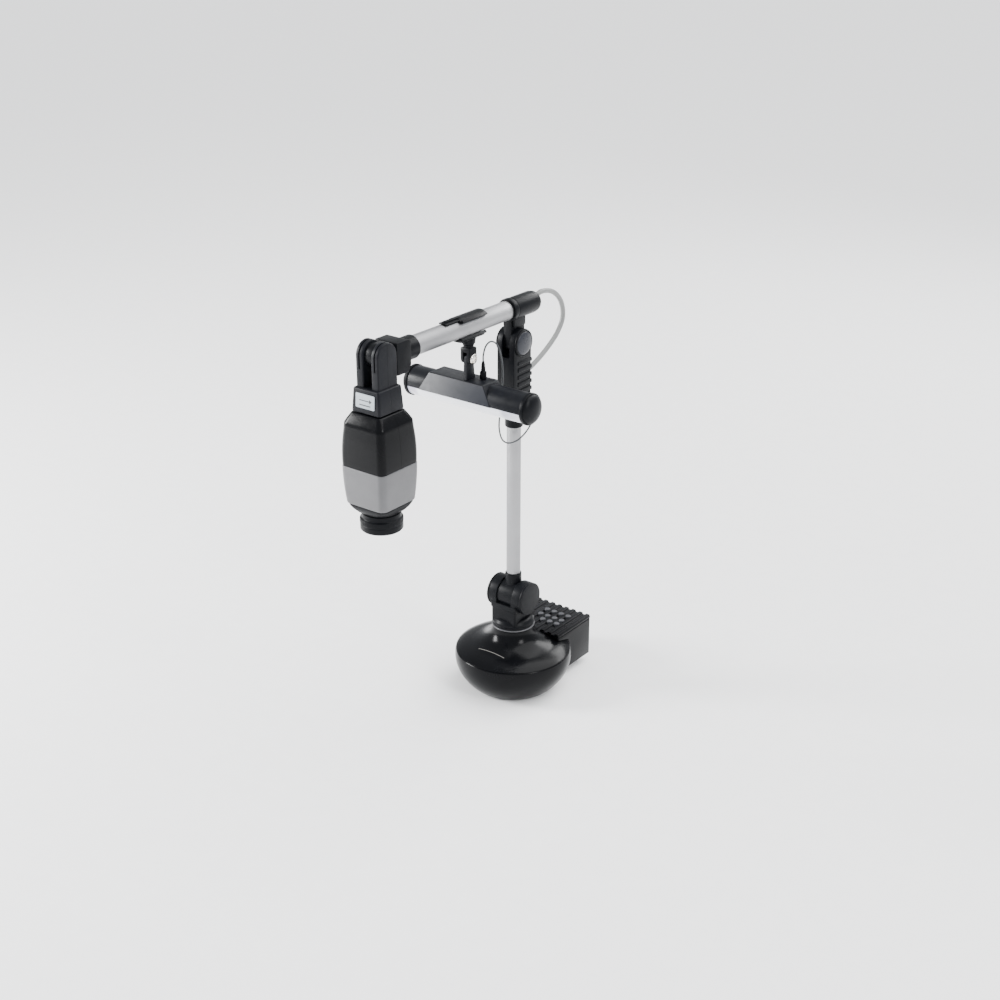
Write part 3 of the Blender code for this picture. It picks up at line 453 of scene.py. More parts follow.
def square(half, radius, height, steps=9):
    """One level of a loft: a square round the head's axis with round corners."""
    points = []
    for corner, (x, y) in enumerate(((1, 1), (-1, 1), (-1, -1), (1, -1))):
        core = (x * (half - radius), HEAD_Y + y * (half - radius))
        points += [(*point, height) for point in arc(core, radius, 90 * corner, 90 * corner + 90, steps)]
    return points


def combine(obj, operation, others, tangled=False):
    """Cuts or joins with a Boolean, and leaves one mesh. Tangled is for thin curved pieces lying close
    together."""
    for other in others:
        boolean = obj.modifiers.new(operation, "BOOLEAN")
        boolean.operation = operation
        boolean.solver = "EXACT"
        boolean.use_self = tangled
        boolean.object = other
    return baked(obj, others)


def baked(obj, helpers=()):
    """The object's mesh with its modifiers applied, and the helpers removed."""
    bpy.context.view_layer.update()
    graph = bpy.context.evaluated_depsgraph_get()
    mesh = bpy.data.meshes.new_from_object(obj.evaluated_get(graph))
    if not mesh.polygons:
        raise RuntimeError(obj.name + " came out empty")
    finish = obj.data.materials[0]
    obj.modifiers.clear()
    obj.data = mesh
    mesh.materials.clear()
    mesh.materials.append(finish)
    mesh.polygons.foreach_set("material_index", [0] * len(mesh.polygons))
    shade(mesh, 38)
    for helper in helpers:
        bpy.data.objects.remove(helper, do_unlink=True)
    return obj


def cut(obj, *others):
    return combine(obj, "DIFFERENCE", others)


def join(obj, *others):
    return combine(obj, "UNION", others)


def spin(piece, turn, axis, at):
    """Turns a piece's mesh about the origin, and moves it from there to its place."""
    piece.data.transform(Matrix.Translation(Vector(at) * MM) @ Matrix.Rotation(turn, 4, axis))


def copy_of(obj, name):
    twin = obj.copy()
    twin.data = obj.data.copy()
    twin.name = name
    bpy.context.scene.collection.objects.link(twin)
    return twin


def keep_side(obj, y, side):
    """Keeps what lies on one side of a plane across Y, and closes the cut."""
    bm = bmesh.new()
    bm.from_mesh(obj.data)
    geometry = bm.verts[:] + bm.edges[:] + bm.faces[:]
    bmesh.ops.bisect_plane(bm, geom=geometry, plane_co=(0, y * MM, 0), plane_no=(0, -side, 0),
                           clear_outer=True)
    bmesh.ops.holes_fill(bm, edges=[edge for edge in bm.edges if edge.is_boundary])
    bm.to_mesh(obj.data)
    bm.free()
    shade(obj.data, 38)
    return obj


def halves(whole, front_name, rear_name, gap=0.25):
    """A moulding parted at the head's middle plane: its front and its rear half."""
    front = keep_side(copy_of(whole, front_name), HEAD_Y - gap / 2, -1)
    whole.name = rear_name
    return front, keep_side(whole, HEAD_Y + gap / 2, 1)


def stand_for(piece, *nodes):
    """The piece shows in place of these CAD nodes and rides with them."""
    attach(piece, BODY_OF[nodes[0]])
    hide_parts(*nodes)
    return piece


def trim(piece, node):
    """A detail that rides with a CAD node."""
    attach(piece, BODY_OF[node])
    return piece


# Camera, lights and floor

def make_camera():
    data = bpy.data.cameras.new("camera")
    data.lens = 55.0
    camera = added("camera", data)
    camera.location = (1.186, -1.581, 1.153)
    aim = Vector((-0.012, -0.016, 0.293))
    camera.rotation_euler = (aim - camera.location).to_track_quat("-Z", "Y").to_euler()
    bpy.context.scene.camera = camera


def area_light(name, at, aim, size, power, colour=(1, 1, 1)):
    data = bpy.data.lights.new(name, "AREA")
    data.shape = "RECTANGLE"
    data.size, data.size_y = size
    data.energy = power
    data.color = colour
    light = added(name, data)
    light.location = at
    light.rotation_euler = (Vector(aim) - Vector(at)).to_track_quat("-Z", "Y").to_euler()


def sky_light(name, turn, power, spread):
    """A wide, even light from above, so that the floor is as pale far away as it is near by."""
    data = bpy.data.lights.new(name, "SUN")
    data.energy = power
    data.angle = math.radians(spread)
    light = added(name, data)
    light.rotation_euler = turn


def make_studio():
    bm = bmesh.new()
    bmesh.ops.create_grid(bm, x_segments=2, y_segments=2, size=40)
    floor = piece_from("floor", bm, surface("floor", (0.9, 0.9, 0.9), 0.7, drift=0.01, grain=0.0))
    floor.location.z = -0.0004
    world = bpy.data.worlds.new("studio")
    world.use_nodes = True
    background = world.node_tree.nodes["Background"]
    background.inputs["Color"].default_value = (0.95, 0.97, 1.0, 1)
    background.inputs["Strength"].default_value = 1.0
    bpy.context.scene.world = world
    sky_light("overhead", (-0.35, 0.3, 0.0), 3.8, 60)
    area_light("key", (-2.3, -1.6, 1.2), (0, -0.1, 0.3), (0.7, 1.4), 190)
    area_light("fill", (2.4, -0.5, 1.9), (0, -0.1, 0.2), (0.7, 1.2), 45)
    area_light("rim", (0.2, 2.4, 1.8), (0, -0.1, 0.3), (1.8, 0.7), 50)


# Cords

def smooth_route(points, per_span=10):
    """A Catmull-Rom curve through the points."""
    route = [Vector(point) for point in points]
    route = [2 * route[0] - route[1], *route, 2 * route[-1] - route[-2]]
    fine = []
    for a, b, c, d in zip(route, route[1:], route[2:], route[3:]):
        for step in range(per_span):
            t = step / per_span
            fine.append(0.5 * (2 * b + (c - a) * t + (2 * a - 5 * b + 4 * c - d) * t * t
                               + (3 * b - a - 3 * c + d) * t ** 3))
    fine.append(route[-2])
    return fine


def tube(name, path, radius, finish, sides=20):
    """A mesh tube along a path, with rings that don't twist."""
    levels, normal = [], None
    for index, point in enumerate(path):
        along = (path[min(index + 1, len(path) - 1)] - path[max(index - 1, 0)]).normalized()
        normal = along.orthogonal() if normal is None else normal - along * normal.dot(along)
        normal.normalize()
        side = along.cross(normal)
        angles = [2 * math.pi * step / sides for step in range(sides)]
        levels.append([point + (normal * math.cos(a) + side * math.sin(a)) * radius for a in angles])
    return loft(name, levels, finish, 60)


def free_cord(name, path, radius, finish, slot, bodies, nodes, **facts):
    """A mesh tube along the path, in place of these CAD nodes, which it hides."""
    piece = tube(name, path, radius, finish)
    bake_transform(piece)
    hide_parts(*nodes)


def make_cords(plug):
    """The arm's cable, and the lamp's lead in four stretches of its fine curve, each across one joint.
    Known fault: at lamp_tilt's upper limit the first stretch passes through the hood and the diffuser."""
    free_cord("arm_cable_run", smooth_route(CABLE_ROUTE), CABLE_RADIUS, CABLE_GREY, "cable_grey",
              ("arm", "pole"), ["arm_cable"], stiffness="medium", lay="loose")
    wire = smooth_route(WIRE_ROUTE)
    stretches = (("lamp_wire_loop", 0, 80, "lamp", "lamp_bracket_body"),
                 ("lamp_wire_drop", 80, 95, "lamp_bracket_body", "lamp_clip_body"),
                 ("lamp_wire_fall", 95, 113, "lamp_clip_body", "arm"),
                 ("lamp_wire_bight", 113, 160, "arm", "pole"))
    for name, start, end, first, second in stretches:
        ends = {"with_pieces": [plug]} if start == 0 else {}
        free_cord(name, wire[start:end + 1], WIRE_RADIUS, WIRE_GREY, "wire_grey", (first, second),
                  ["lamp_wire"] if start == 0 else [], stiffness="limp", lay="loose", **ends)


def make_plug():
    """The small power plug on the lamp's lead: a grip with rings, a tapering boot and the contact barrel."""
    top = PLUG_TOP
    profile = [(0, top), (1.7, top), (2.0, top - 2)]
    for ring in range(4):
        z = top - 3 - 2.4 * ring
        profile += [(2.15 + 0.2 * ring, z), (2.7 + 0.16 * ring, z - 0.5), (2.7 + 0.16 * ring, z - 1.4),
                    (2.15 + 0.2 * ring, z - 1.9)]
    profile += [(3.1, top - 12.8), (4.4, top - 14.0), (4.6, top - 15.2), (4.6, HOOD_TOP + 1.0),
                (4.2, HOOD_TOP + 0.3), (1.8, HOOD_TOP + 0.3), (1.8, HOOD_TOP - 2.5), (0, HOOD_TOP - 2.5)]
    return stand_for(turned("lamp_plug_grip", "Z", (*PLUG_AT, 0), profile, sides=48, ease=0.3), "lamp_plug")


# Base

def bezier(first, pull_first, pull_last, last, count):
    points = []
    for step in range(1, count + 1):
        t = step / count
        weights = ((1 - t) ** 3, 3 * t * (1 - t) ** 2, 3 * t * t * (1 - t), t ** 3)
        points.append(tuple(sum(w * p[i] for w, p in zip(weights, (first, pull_first, pull_last, last)))
                            for i in range(2)))
    return points


SHOULDER = (61.0, 66.0)
CREASE = (83.5, CREASE_Z)
FOOT = (62.0, 1.4)
TOP_PROFILE = ([(30.5, NECK_TOP)] + bezier((30.5, NECK_TOP), (31.5, 79), (43, 71), SHOULDER, 26)
               + bezier(SHOULDER, (70, 64), (78.5, 61.5), CREASE, 14))
BOWL_PROFILE = bezier((84.1, CREASE_Z - 0.8), (87, 46), (87, 24), FOOT, 36)


def gourd_height(radius):
    """The height of the top cover's surface at a distance from the axis."""
    for (r0, z0), (r1, z1) in zip(TOP_PROFILE, TOP_PROFILE[1:]):
        if r0 <= radius <= r1:
            return z0 + (z1 - z0) * (radius - r0) / (r1 - r0)
    return TOP_PROFILE[-1][1]


def make_base():
    top = [(20, NECK_TOP - 0.2), (30.2, NECK_TOP)] + TOP_PROFILE[1:] + [(83.4, CREASE_Z - 0.3),
                                                                        (80, CREASE_Z - 0.3)]
    stand_for(turned("base_top_skin", "Z", ORIGIN, top + [(20, CREASE_Z - 0.3)], GLOSS_BLACK, 160, ring=True,
                     ease=0.25), "base_top_cover")
    bowl = [(80, CREASE_Z - 0.7), (83.7, CREASE_Z - 0.7)] + BOWL_PROFILE
    inner = [(FOOT[0] - 2.2, FOOT[1]), (72.5, 22), (80, 45)]
    stand_for(turned("base_bowl_skin", "Z", ORIGIN, bowl + inner, GLOSS_BLACK, 160, ring=True, ease=0.3),
              "base_bowl")
    z = NECK_TOP
    stand_for(turned("swivel_ring_bright", "Z", ORIGIN, [(20, z + 2.3), (30.9, z + 2.3), (31.3, z + 1.9),
                                                         (31.3, z + 0.7), (30.9, z + 0.3), (20, z + 0.3)],
                     SWIVEL_GREY, 128, ring=True, ease=0.15), "swivel_ring")
    make_base_line()


def make_base_line():
    """A thin plain line laid into the shoulder, on the side below the camera head."""
    half, y, width, steps = 23.2, -52.3, 0.9, 40
    section = ((-width / 2, 0.12), (width / 2, 0.12), (width / 2, -0.5), (-width / 2, -0.5))
    levels = []
    for step in range(steps + 1):
        x = -half + 2 * half * step / steps
        levels.append([(x, y + across, gourd_height(math.hypot(x, y + across)) + rise) for across,
                       rise in section])
    trim(loft("base_line", levels, PALE_LINE), "base_top_cover")


BOX_HALF = high("control_housing", "X")
BOX_REAR = high("control_housing", "Y")
BOX_FRONT = low("ribbed_panel", "Y")
BOX_BOTTOM = low("control_housing", "Z")
PANEL_BOTTOM = low("ribbed_panel", "Z")
RIB_CREST = high("ribbed_panel", "Z")
RIB_TROUGH = RIB_CREST - 2.5
RIB_PITCH = 12.7
RIB_COUNT = 9
PORT_Z = 40
VIDEO_X = -20
POWER_X = 15


def gourd_cutter(name, clearance):
    profile = [(0, NECK_TOP + 40), (30.5 + clearance, NECK_TOP + 40)]
    profile += [(radius + clearance, z + clearance * 0.6) for radius, z in TOP_PROFILE + BOWL_PROFILE[::2]]
    return turned(name, "Z", ORIGIN, profile + [(62, -6), (0, -6)], GLOSS_BLACK, 160, ease=0)


def make_control_box():
    """The tray behind the base, its ribbed lid and its rear sockets."""
    tray = block("control_tray", (-BOX_HALF, BOX_FRONT, BOX_BOTTOM),
                 (BOX_HALF, BOX_REAR, PANEL_BOTTOM - 0.35), GLOSS_BLACK, rim=1.4)
    frame_cut = prism("port_recess", [(-38, 28), (31, 28), (31, 52), (-38, 52)], "Y", BOX_REAR - 0.7, BOX_REAR
                      + 5, rim=0, ease=3)
    holes = [drill("Y", (x, BOX_REAR - 6, PORT_Z), radius, 0, 20, 48) for x,
             radius in ((VIDEO_X, 7.3), (POWER_X, 6.3))]
    vents = [prism("vent", [(-36 + 9 * k, 58), (-30 + 9 * k, 58), (-30 + 9 * k, 60), (-36 + 9 * k, 60)], "Y",
                   BOX_REAR - 2, BOX_REAR + 5, rim=0, ease=0.9) for k in range(8)]
    cut(tray, gourd_cutter("tray_gourd", 0.6), frame_cut, *holes, *vents)
    stand_for(tray, "control_housing")
    make_lid()
    make_jack("video_jack", VIDEO_X, 7.0, 4)
    make_jack("power_jack", POWER_X, 6.0, 1)


def make_lid():
    """The ribbed lid with a hole for each key, and the keys in them."""
    outline = [(-BOX_HALF, PANEL_BOTTOM), (BOX_HALF, PANEL_BOTTOM), (BOX_HALF, RIB_TROUGH)]
    for rib in reversed(range(RIB_COUNT)):
        x = (rib - (RIB_COUNT - 1) / 2) * RIB_PITCH
        outline += [(x + 3.9, RIB_TROUGH), (x + 3.0, RIB_CREST), (x - 3.0, RIB_CREST), (x - 3.9, RIB_TROUGH)]
    outline.append((-BOX_HALF, RIB_TROUGH))
    panel = prism("ribbed_lid", outline, "Y", BOX_FRONT, BOX_REAR, PANEL_BLACK, rim=0.5, ease=0.7)
    keys = [node for node in frame["nodes"] if "_button_" in node]
    sockets = [drill("Z", (middle(node, "X"), middle(node, "Y"), 0), 4.7, 90, 60, 40) for node in keys]
    cut(panel, gourd_cutter("lid_gourd", 0.6), *sockets)
    stand_for(panel, "ribbed_panel")
    for node in keys:
        make_key(node)


def make_jack(name, x, radius, pins):
    """A round rear socket with one pin on its axis, or several round it."""
    shell = [(radius - 2, 1.6), (radius - 1.6, 2), (radius, 2), (radius, -12), (0, -12), (0, -8),
             (radius - 2.2, -8)]
    stand_for(turned(name + "_shell", "Y", (x, BOX_REAR, PORT_Z), shell, sides=48, ring=True, ease=0.2), name)
    contact = [(0, 6), (0.55, 5.6), (0.6, 5), (0.6, -1), (0, -1)]
    reach = 2.6 if pins > 1 else 0
    for pin in range(pins):
        turn = 2 * math.pi * (pin + 0.5) / pins
        at = (x + reach * math.cos(turn), BOX_REAR - 8, PORT_Z + reach * math.sin(turn))
        trim(turned(f"{name}_pin_{pin + 1}", "Y", at, contact, CHROME, 16, ease=0.1), name)


def make_key(node):
    """A round soft key with a dished top, and a short plain dash behind each menu key."""
    x, y, top = middle(node, "X"), middle(node, "Y"), high(node, "Z")
    base = low(node, "Z")
    profile = [(0, top - 0.35), (2.2, top - 0.15), (3.3, top), (3.9, top - 0.35), (4.2, top - 1.2),
               (4.2, base + 1.2), (5.2, base + 1.2), (5.2, base), (0, base)]
    stand_for(turned(node + "_cap", "Z", (x, y, 0), profile, KEY_GREY, 40, ease=0.3), node)
    if "menu" not in node:
        return
    dash = [(x - 2.4, y + 6.1), (x + 2.4, y + 6.1), (x + 2.4, y + 6.9), (x - 2.4, y + 6.9)]
    trim(prism(node + "_dash", dash, "Z", RIB_TROUGH - 0.4, RIB_TROUGH + 0.08, PALE_LINE, rim=0, ease=0.2),
         "ribbed_panel")


# Turret and pole

def make_turret():
    hinge = (0, 0, HINGE_Z)
    radius, inner, outer = 24.0, 13.4, high("turret_yoke", "X")
    cheeks = []
    for side in (-1, 1):
        profile = [(5.3, inner), (radius - 0.5, inner), (radius, inner + 0.5), (radius, outer - 4.4),
                   (radius - 0.5, outer - 4.0), (radius - 0.5, outer - 3.4), (radius, outer - 3.0),
                   (radius, outer - 0.6), (radius - 0.6, outer), (5.3, outer)]
        cheeks.append(turned(f"cheek_{side}", "X", hinge, profile, ring=True, ease=0.2,
                             flip=side < 0))
    body = block("yoke_body", (-21.5, -24, 102), (21.5, 24, HINGE_Z - 2), rim=1.6)
    ledge = block("yoke_ledge", (-22.3, -24.9, 126), (22.3, 24.9, 134.5), rim=0.9)
    foot = turned("yoke_foot", "Z", ORIGIN, [(0, 110), (25.5, 110), (28, 108), (30.5, 104.5), (30.5, 101.2),
                                             (29.9, 100.9), (29.9, 100.3), (30.5, 100), (30.5, 97.6),
                                             (0, 97.6)], sides=128, ease=0.3)
    room = drill("X", hinge, 22.6, 13.2, -13.2)
    opening = block("socket_room", (-13.2, -50, HINGE_Z - 9), (13.2, 50, HINGE_Z + 40), rim=0.3)
    join(body, ledge, foot)
    cut(body, room, opening)
    join(body, *cheeks)
    body.name = "turret_yoke_body"
    stand_for(body, "turret_yoke")
    for name, side in (("hinge_cap_left", -1), ("hinge_cap_right", 1)):
        base = outer + 0.3
        profile = [(0, 29.1), (5.5, 29.1), (6.1, 28.7), (6.7, 29.3), (15.2, 29.6), (15.8, 29.0), (16.4, 29.6),
                   (18.6, 29.4), (20.6, 28.8), (21.5, 27.6), (21.5, base), (0, base)]
        stand_for(turned(name + "_disc", "X", hinge, profile, ease=0.35, flip=side < 0), name)


def make_pole():
    hinge = (0, 0, HINGE_Z)
    barrel = turned("pole_socket_body", "X", hinge, [(0, 13), (21.5, 13), (22, 12.5), (22, -12.5),
                                                     (21.5, -13), (0, -13)], ease=0.2)
    top = high("pole_socket", "Z")
    stem = turned("stem", "Z", ORIGIN, [(0, top - 0.8), (10.5, top), (11.3, top), (11.8, top - 0.8),
                                        (11.9, top - 9), (12.4, top - 20), (13.4, HINGE_Z + 18),
                                        (12.6, HINGE_Z), (0, HINGE_Z)], ease=0.4)
    join(barrel, stem)
    cut(barrel, drill("Z", ORIGIN, POLE_BORE, 200, 153.7))
    stand_for(barrel, "pole_socket")
    pipe("pole_tube_bright", "pole_tube", "Z", ORIGIN, POLE_RADIUS, 1.5, TUBE_Z)


# Elbow

def make_elbow():
    """A tall housing with a slot for the arm's tongue, grip ribs on both sides and a domed disc on each
    joint."""
    centre = (0, ELBOW_Z)
    depth, bottom = 19.5, low("elbow_housing", "Z") + 22
    outline = [(-depth, bottom)] + arc(centre, depth, 180, 0, 60) + [(depth, bottom)]
    housing = prism("elbow_housing_body", outline, "X", -HOUSING_HALF, HOUSING_HALF, rim=1.2, ease=1.5)
    sleeve = turned("sleeve", "Z", ORIGIN, [(0, 432), (14, 432), (14, 424), (12.6, 417), (12.6, 404.2),
                                            (12.0, 403), (0, 403)], ease=0.5)
    join(housing, sleeve)
    slot = block("slot", (-SLOT_HALF, -30, ELBOW_Z - 19), (SLOT_HALF, 30, ELBOW_Z + 40), rim=0.4)
    bore = drill("Z", ORIGIN, POLE_BORE, 438, 390)
    grips = []
    for side in (-1, 1):
        face = side * HOUSING_HALF
        field = [(-11.5, 443), (24, 443), (24, 500), (-11.5, 500)]
        edges = sorted((face - side * 0.9, face + side * 2))
        grips.append(prism(f"grip_field_{side}", field, "X", *edges, rim=0, ease=2))
    cut(housing, slot, bore, *grips)
    ribs = []
    for side in (-1, 1):
        for rib in range(6):
            z = 446.5 + 10.2 * rib
            outline = [(-10.6, z - 2.7), (20.6, z - 2.7), (20.6, z + 2.7), (-10.6, z + 2.7)]
            edges = sorted((side * (HOUSING_HALF - 4), side * (HOUSING_HALF + 0.9)))
            ribs.append(prism(f"rib_{side}_{rib}", outline, "X", *edges, rim=0.8, ease=1.6))
    tab = block("rear_tab", (-9, 17, 518), (9, 22.6, 527), rim=1.0)
    join(housing, *ribs, cut(tab, block("tab_slot", (-SLOT_HALF, -30, 500), (SLOT_HALF, 30, 560), rim=0.2)))
    stand_for(housing, "elbow_housing")
    make_elbow_caps()
    make_glands()


def make_elbow_caps():
    for name, side in (("elbow_cap_left", -1), ("elbow_cap_right", 1)):
        face = HOUSING_HALF + 0.3
        rim = [(0, 16.6), (15.6, 16.6), (16.4, 17.5), (17.8, 17.5), (18.8, 16.4), (18.8, face), (0, face)]
        stand_for(turned(name + "_rim", "X", (0, 0, ELBOW_Z), rim, ease=0.3, flip=side < 0), name)
        dome = dome_outline(16.0, 16.9, 3.5, 14, 16.2)
        trim(turned(name + "_dome", "X", (0, 0, ELBOW_Z), dome, DOME_GREY, ease=0, flip=side < 0), name)


def make_glands():
    """The cable's boot on the housing's rear, and the lead's on its side."""
    gland = [(3.9, 27), (4.9, 26.4), (5.6, 24.8), (5.6, 23.2), (4.9, 22.8), (4.9, 22.2), (5.6, 21.8),
             (5.6, 19.8), (3.4, 19.8), (3.4, 27)]
    stand_for(turned("cable_gland_boot", "Y", (0, 0, middle("cable_gland", "Z")), gland, sides=64, ring=True,
                     ease=0.25), "cable_gland")
    boot = [(1.3, 20), (2.0, 19.8), (2.4, 18.6), (3.2, 17.6), (3.4, 16.6), (3.4, 14.8), (1.0, 14.8),
            (1.0, 20)]
    stand_for(turned("wire_gland_boot", "X", (0, middle("wire_gland", "Y"), middle("wire_gland", "Z")), boot,
                     sides=48, ring=True, ease=0.2), "wire_gland")


# Arm

def make_arm():
    rear, front = high("arm_knuckle", "Y"), low("arm_knuckle", "Y")
    top = 15.2
    dome = [(0, rear), (5, rear - 0.3), (9, rear - 1.4), (12.2, rear - 3.6), (14.2, rear - 7),
            (top, rear - 13)]
    profile = dome + [(top, -6.6), (top - 0.5, -7.2), (top - 0.5, -8.2), (top + 0.6, -9.0),
                      (top + 0.6, front + 1), (top - 0.4, front), (ARM_RADIUS + 0.2, front), (0, front)]
    knuckle = turned("arm_knuckle_body", "Y", (0, 0, ARM_Z), profile, ease=1.2)
    centre = (0, ELBOW_Z)
    outline = arc(centre, 15, 180, 360, 40) + [(14.6, ELBOW_Z + 24), (13.5, ARM_Z - 8), (-14.5, ARM_Z - 8),
                                               (-15, ELBOW_Z + 24)]
    tongue = prism("tongue", outline, "X", -TONGUE_HALF, TONGUE_HALF, rim=0.6, ease=1.0)
    neck = prism("neck", [(-12.5, 547), (13, 547), (13, ARM_Z - 6), (-13, ARM_Z - 6)], "X", -9.5, 9.5,
                 rim=1.0, ease=2.5)
    join(knuckle, tongue, neck)
    cut(knuckle, drill("Y", (0, 0, CABLE_ROUTE[0][2]), 4.4, 60, 20, 48))
    stand_for(knuckle, "arm_knuckle")
    pipe("arm_tube_bright", "arm_tube", "Y", (0, 0, ARM_Z), ARM_RADIUS, 1.6, TUBE_Y)
    make_end_block()


def make_end_block():
    """The round sleeve on the arm's front end, the square block and the tongue for the camera head."""
    rear = high("arm_end_block", "Y")
    profile = [(0, rear), (14.2, rear), (15.4, rear - 1.2), (15.4, rear - 24), (0, rear - 24)]
    sleeve = turned("arm_end_body", "Y", (0, 0, ARM_Z), profile, ease=0.5)
    face, back = HEAD_Y + 18.1, rear - 22
    outline = [(face, 549), (back - 4, 549), (back - 3, 555), (back, 556.5), (back, 587), (back - 4, 590),
               (face, 590)]
    body = prism("end_square", outline, "X", -17.6, 17.6, rim=0.5, ease=1.4)
    outline = arc((HEAD_Y, TILT_Z), 14.5, 90, 270, 40) + [(face + 4, TILT_Z - 14.5),
                                                          (face + 4, TILT_Z + 11.5)]
    tongue = prism("end_tongue", outline, "X", -TONGUE_HALF, TONGUE_HALF, rim=0.5)
    join(sleeve, body, tongue)
    cut(sleeve, drill("Y", (0, 0, ARM_Z), ARM_RADIUS + 0.3, rear + 9, rear - 20))
    stand_for(sleeve, "arm_end_block")


# Camera head

def make_fork():
    """The two tines and the tapered neck block below them, moulded as a front and a rear half."""
    bottom, top = 508.0, 539.0
    half = {bottom: 23.0, top: 21.2}
    levels = [square(half[bottom] - 0.9, 2.4, bottom), square(half[bottom] - 0.2, 3.0, bottom + 0.5),
              square(half[bottom], 3.1, bottom + 1.4), square(half[top] + 0.1, 3.0, top - 2.4),
              square(half[top] - 0.5, 2.9, top - 1.0), square(half[top] - 2.2, 2.4, top)]
    neck = loft("fork_whole", levels, CHARCOAL)
    depth = 17.5
    outline = [(HEAD_Y - depth, top - 6)] + arc((HEAD_Y, TILT_Z), depth, 180, 0,
                                                60) + [(HEAD_Y + depth, top - 6)]
    tines, slots = [], []
    for side in (-1, 1):
        edges = sorted((side * SLOT_HALF, side * FORK_HALF))
        tines.append(prism(f"tine_{side}", outline, "X", *edges, CHARCOAL, rim=1.6, steps=4))
        centre = side * 12.3
        track = (arc((HEAD_Y, TILT_Z), depth + 3, 180, 78, 30)
                 + arc((HEAD_Y, TILT_Z), depth - 1.8, 78, 180, 30)
                 + [(HEAD_Y - depth + 1.8, 562), (HEAD_Y - depth - 3, 560)])
        slots.append(prism(f"tine_slot_{side}", track, "X", centre - 1.1, centre + 1.1, CHARCOAL, rim=0))
    join(neck, *tines)
    cut(neck, *slots)
    front, rear = halves(neck, "fork_front_body", "fork_rear_body")
    stand_for(front, "fork_front_shell")
    stand_for(rear, "fork_rear_shell")
    make_label(bottom, top, half)


def make_label(bottom, top, half):
    """A plain plate on the neck block's front, with a turning arrow and a bar on it."""
    lean = math.atan2(half[bottom] - half[top], top - bottom)
    middle_z = middle("label_plate", "Z")
    face = HEAD_Y - half[bottom] + (middle_z - bottom) * math.tan(lean)

    def lay(name, outline, start, end, finish, ease, node=None):
        piece = prism(name, outline, "Y", start, end, finish, rim=0.25 if node else 0, ease=ease)
        spin(piece, -lean, "X", (0, face - 0.35, middle_z))
        return stand_for(piece, node) if node else trim(piece, "label_plate")

    lay("label_plate_face", [(-15, -9), (15, -9), (15, 9), (-15, 9)], -0.75, 0.35, LABEL_GREY, 1.4,
        "label_plate")
    shaft = [(-9, 1.6), (7, 1.6), (7, 3.9), (11, 1.0), (7, -1.9), (7, 0.4), (-9, 0.4)]
    lay("label_arrow", shaft, -0.82, -0.6, INK, 0.1)
    lay("label_bar", [(-9, -5.6), (9, -5.6), (9, -4.2), (-9, -4.2)], -0.82, -0.6, INK, 0.3)


def bulging(z):
    """Half the head's width at a height: widest about a fifth of the way up the shells."""
    share = (z - BAND_TOP) / (495 - BAND_TOP)
    return 35.2 + 0.5 * math.sin(math.pi * min(1, share * 1.2)) - 2.9 * share ** 1.8


def make_head():
    low_z, shoulder, top = BAND_TOP + 0.35, 495.0, HEAD_TOP
    levels = [square(34.6, 8.6, low_z), square(35.1, 9, low_z + 0.5)]
    levels += [square(bulging(z), 9, z) for z in [low_z + 1.2 + (shoulder - 2.5 - low_z) * k / 12
                                                  for k in range(13)]]
    levels += [square(bulging(shoulder) - 0.9, 8.6, shoulder + 0.4), square(29.6, 7.4, shoulder + 3.4),
               square(25.0, 5.6, top - 1.2), square(24.2, 5.2, top - 0.3), square(23.2, 4.8, top)]
    whole = loft("head_whole", levels, GLOSS_BLACK, 50)
    front, rear = halves(whole, "head_front_body", "head_rear_body")
    stand_for(front, "head_front_shell")
    stand_for(rear, "head_rear_shell")
    heights = (0.0, 0.4, 1.4, 6, 14, 24, 34, 44, 48.8, 49.7, 50.0)
    widths = (32.2, 32.6, 32.9, 33.4, 34.1, 34.8, 35.3, 35.6, 35.6, 35.5, 35.1)
    band = loft("head_band_body", [square(width, 9.4, BAND_BOTTOM + z) for z, width in zip(heights, widths)],
                BAND_GREY, 50)
    stand_for(band, "head_band")
    z = BAND_BOTTOM
    skirt = [square(31.2, 9.2, z - 0.3), square(31.4, 9.2, z - 1.0), square(30.9, 10.5, z - 3.6),
             square(29.6, 14, z - 7.4), square(27.8, 19, z - 10.6), square(25.8, 24, z - 12.6),
             square(24.9, 24.2, z - 13.6), square(24.0, 23.8, z - 14)]
    skirt = loft("lens_skirt_body", skirt, SATIN_BLACK, 50)
    cut(skirt, drill("Z", (0, HEAD_Y, 0), 23.3, 410, 360))
    stand_for(skirt, "lens_skirt")
    make_lens()


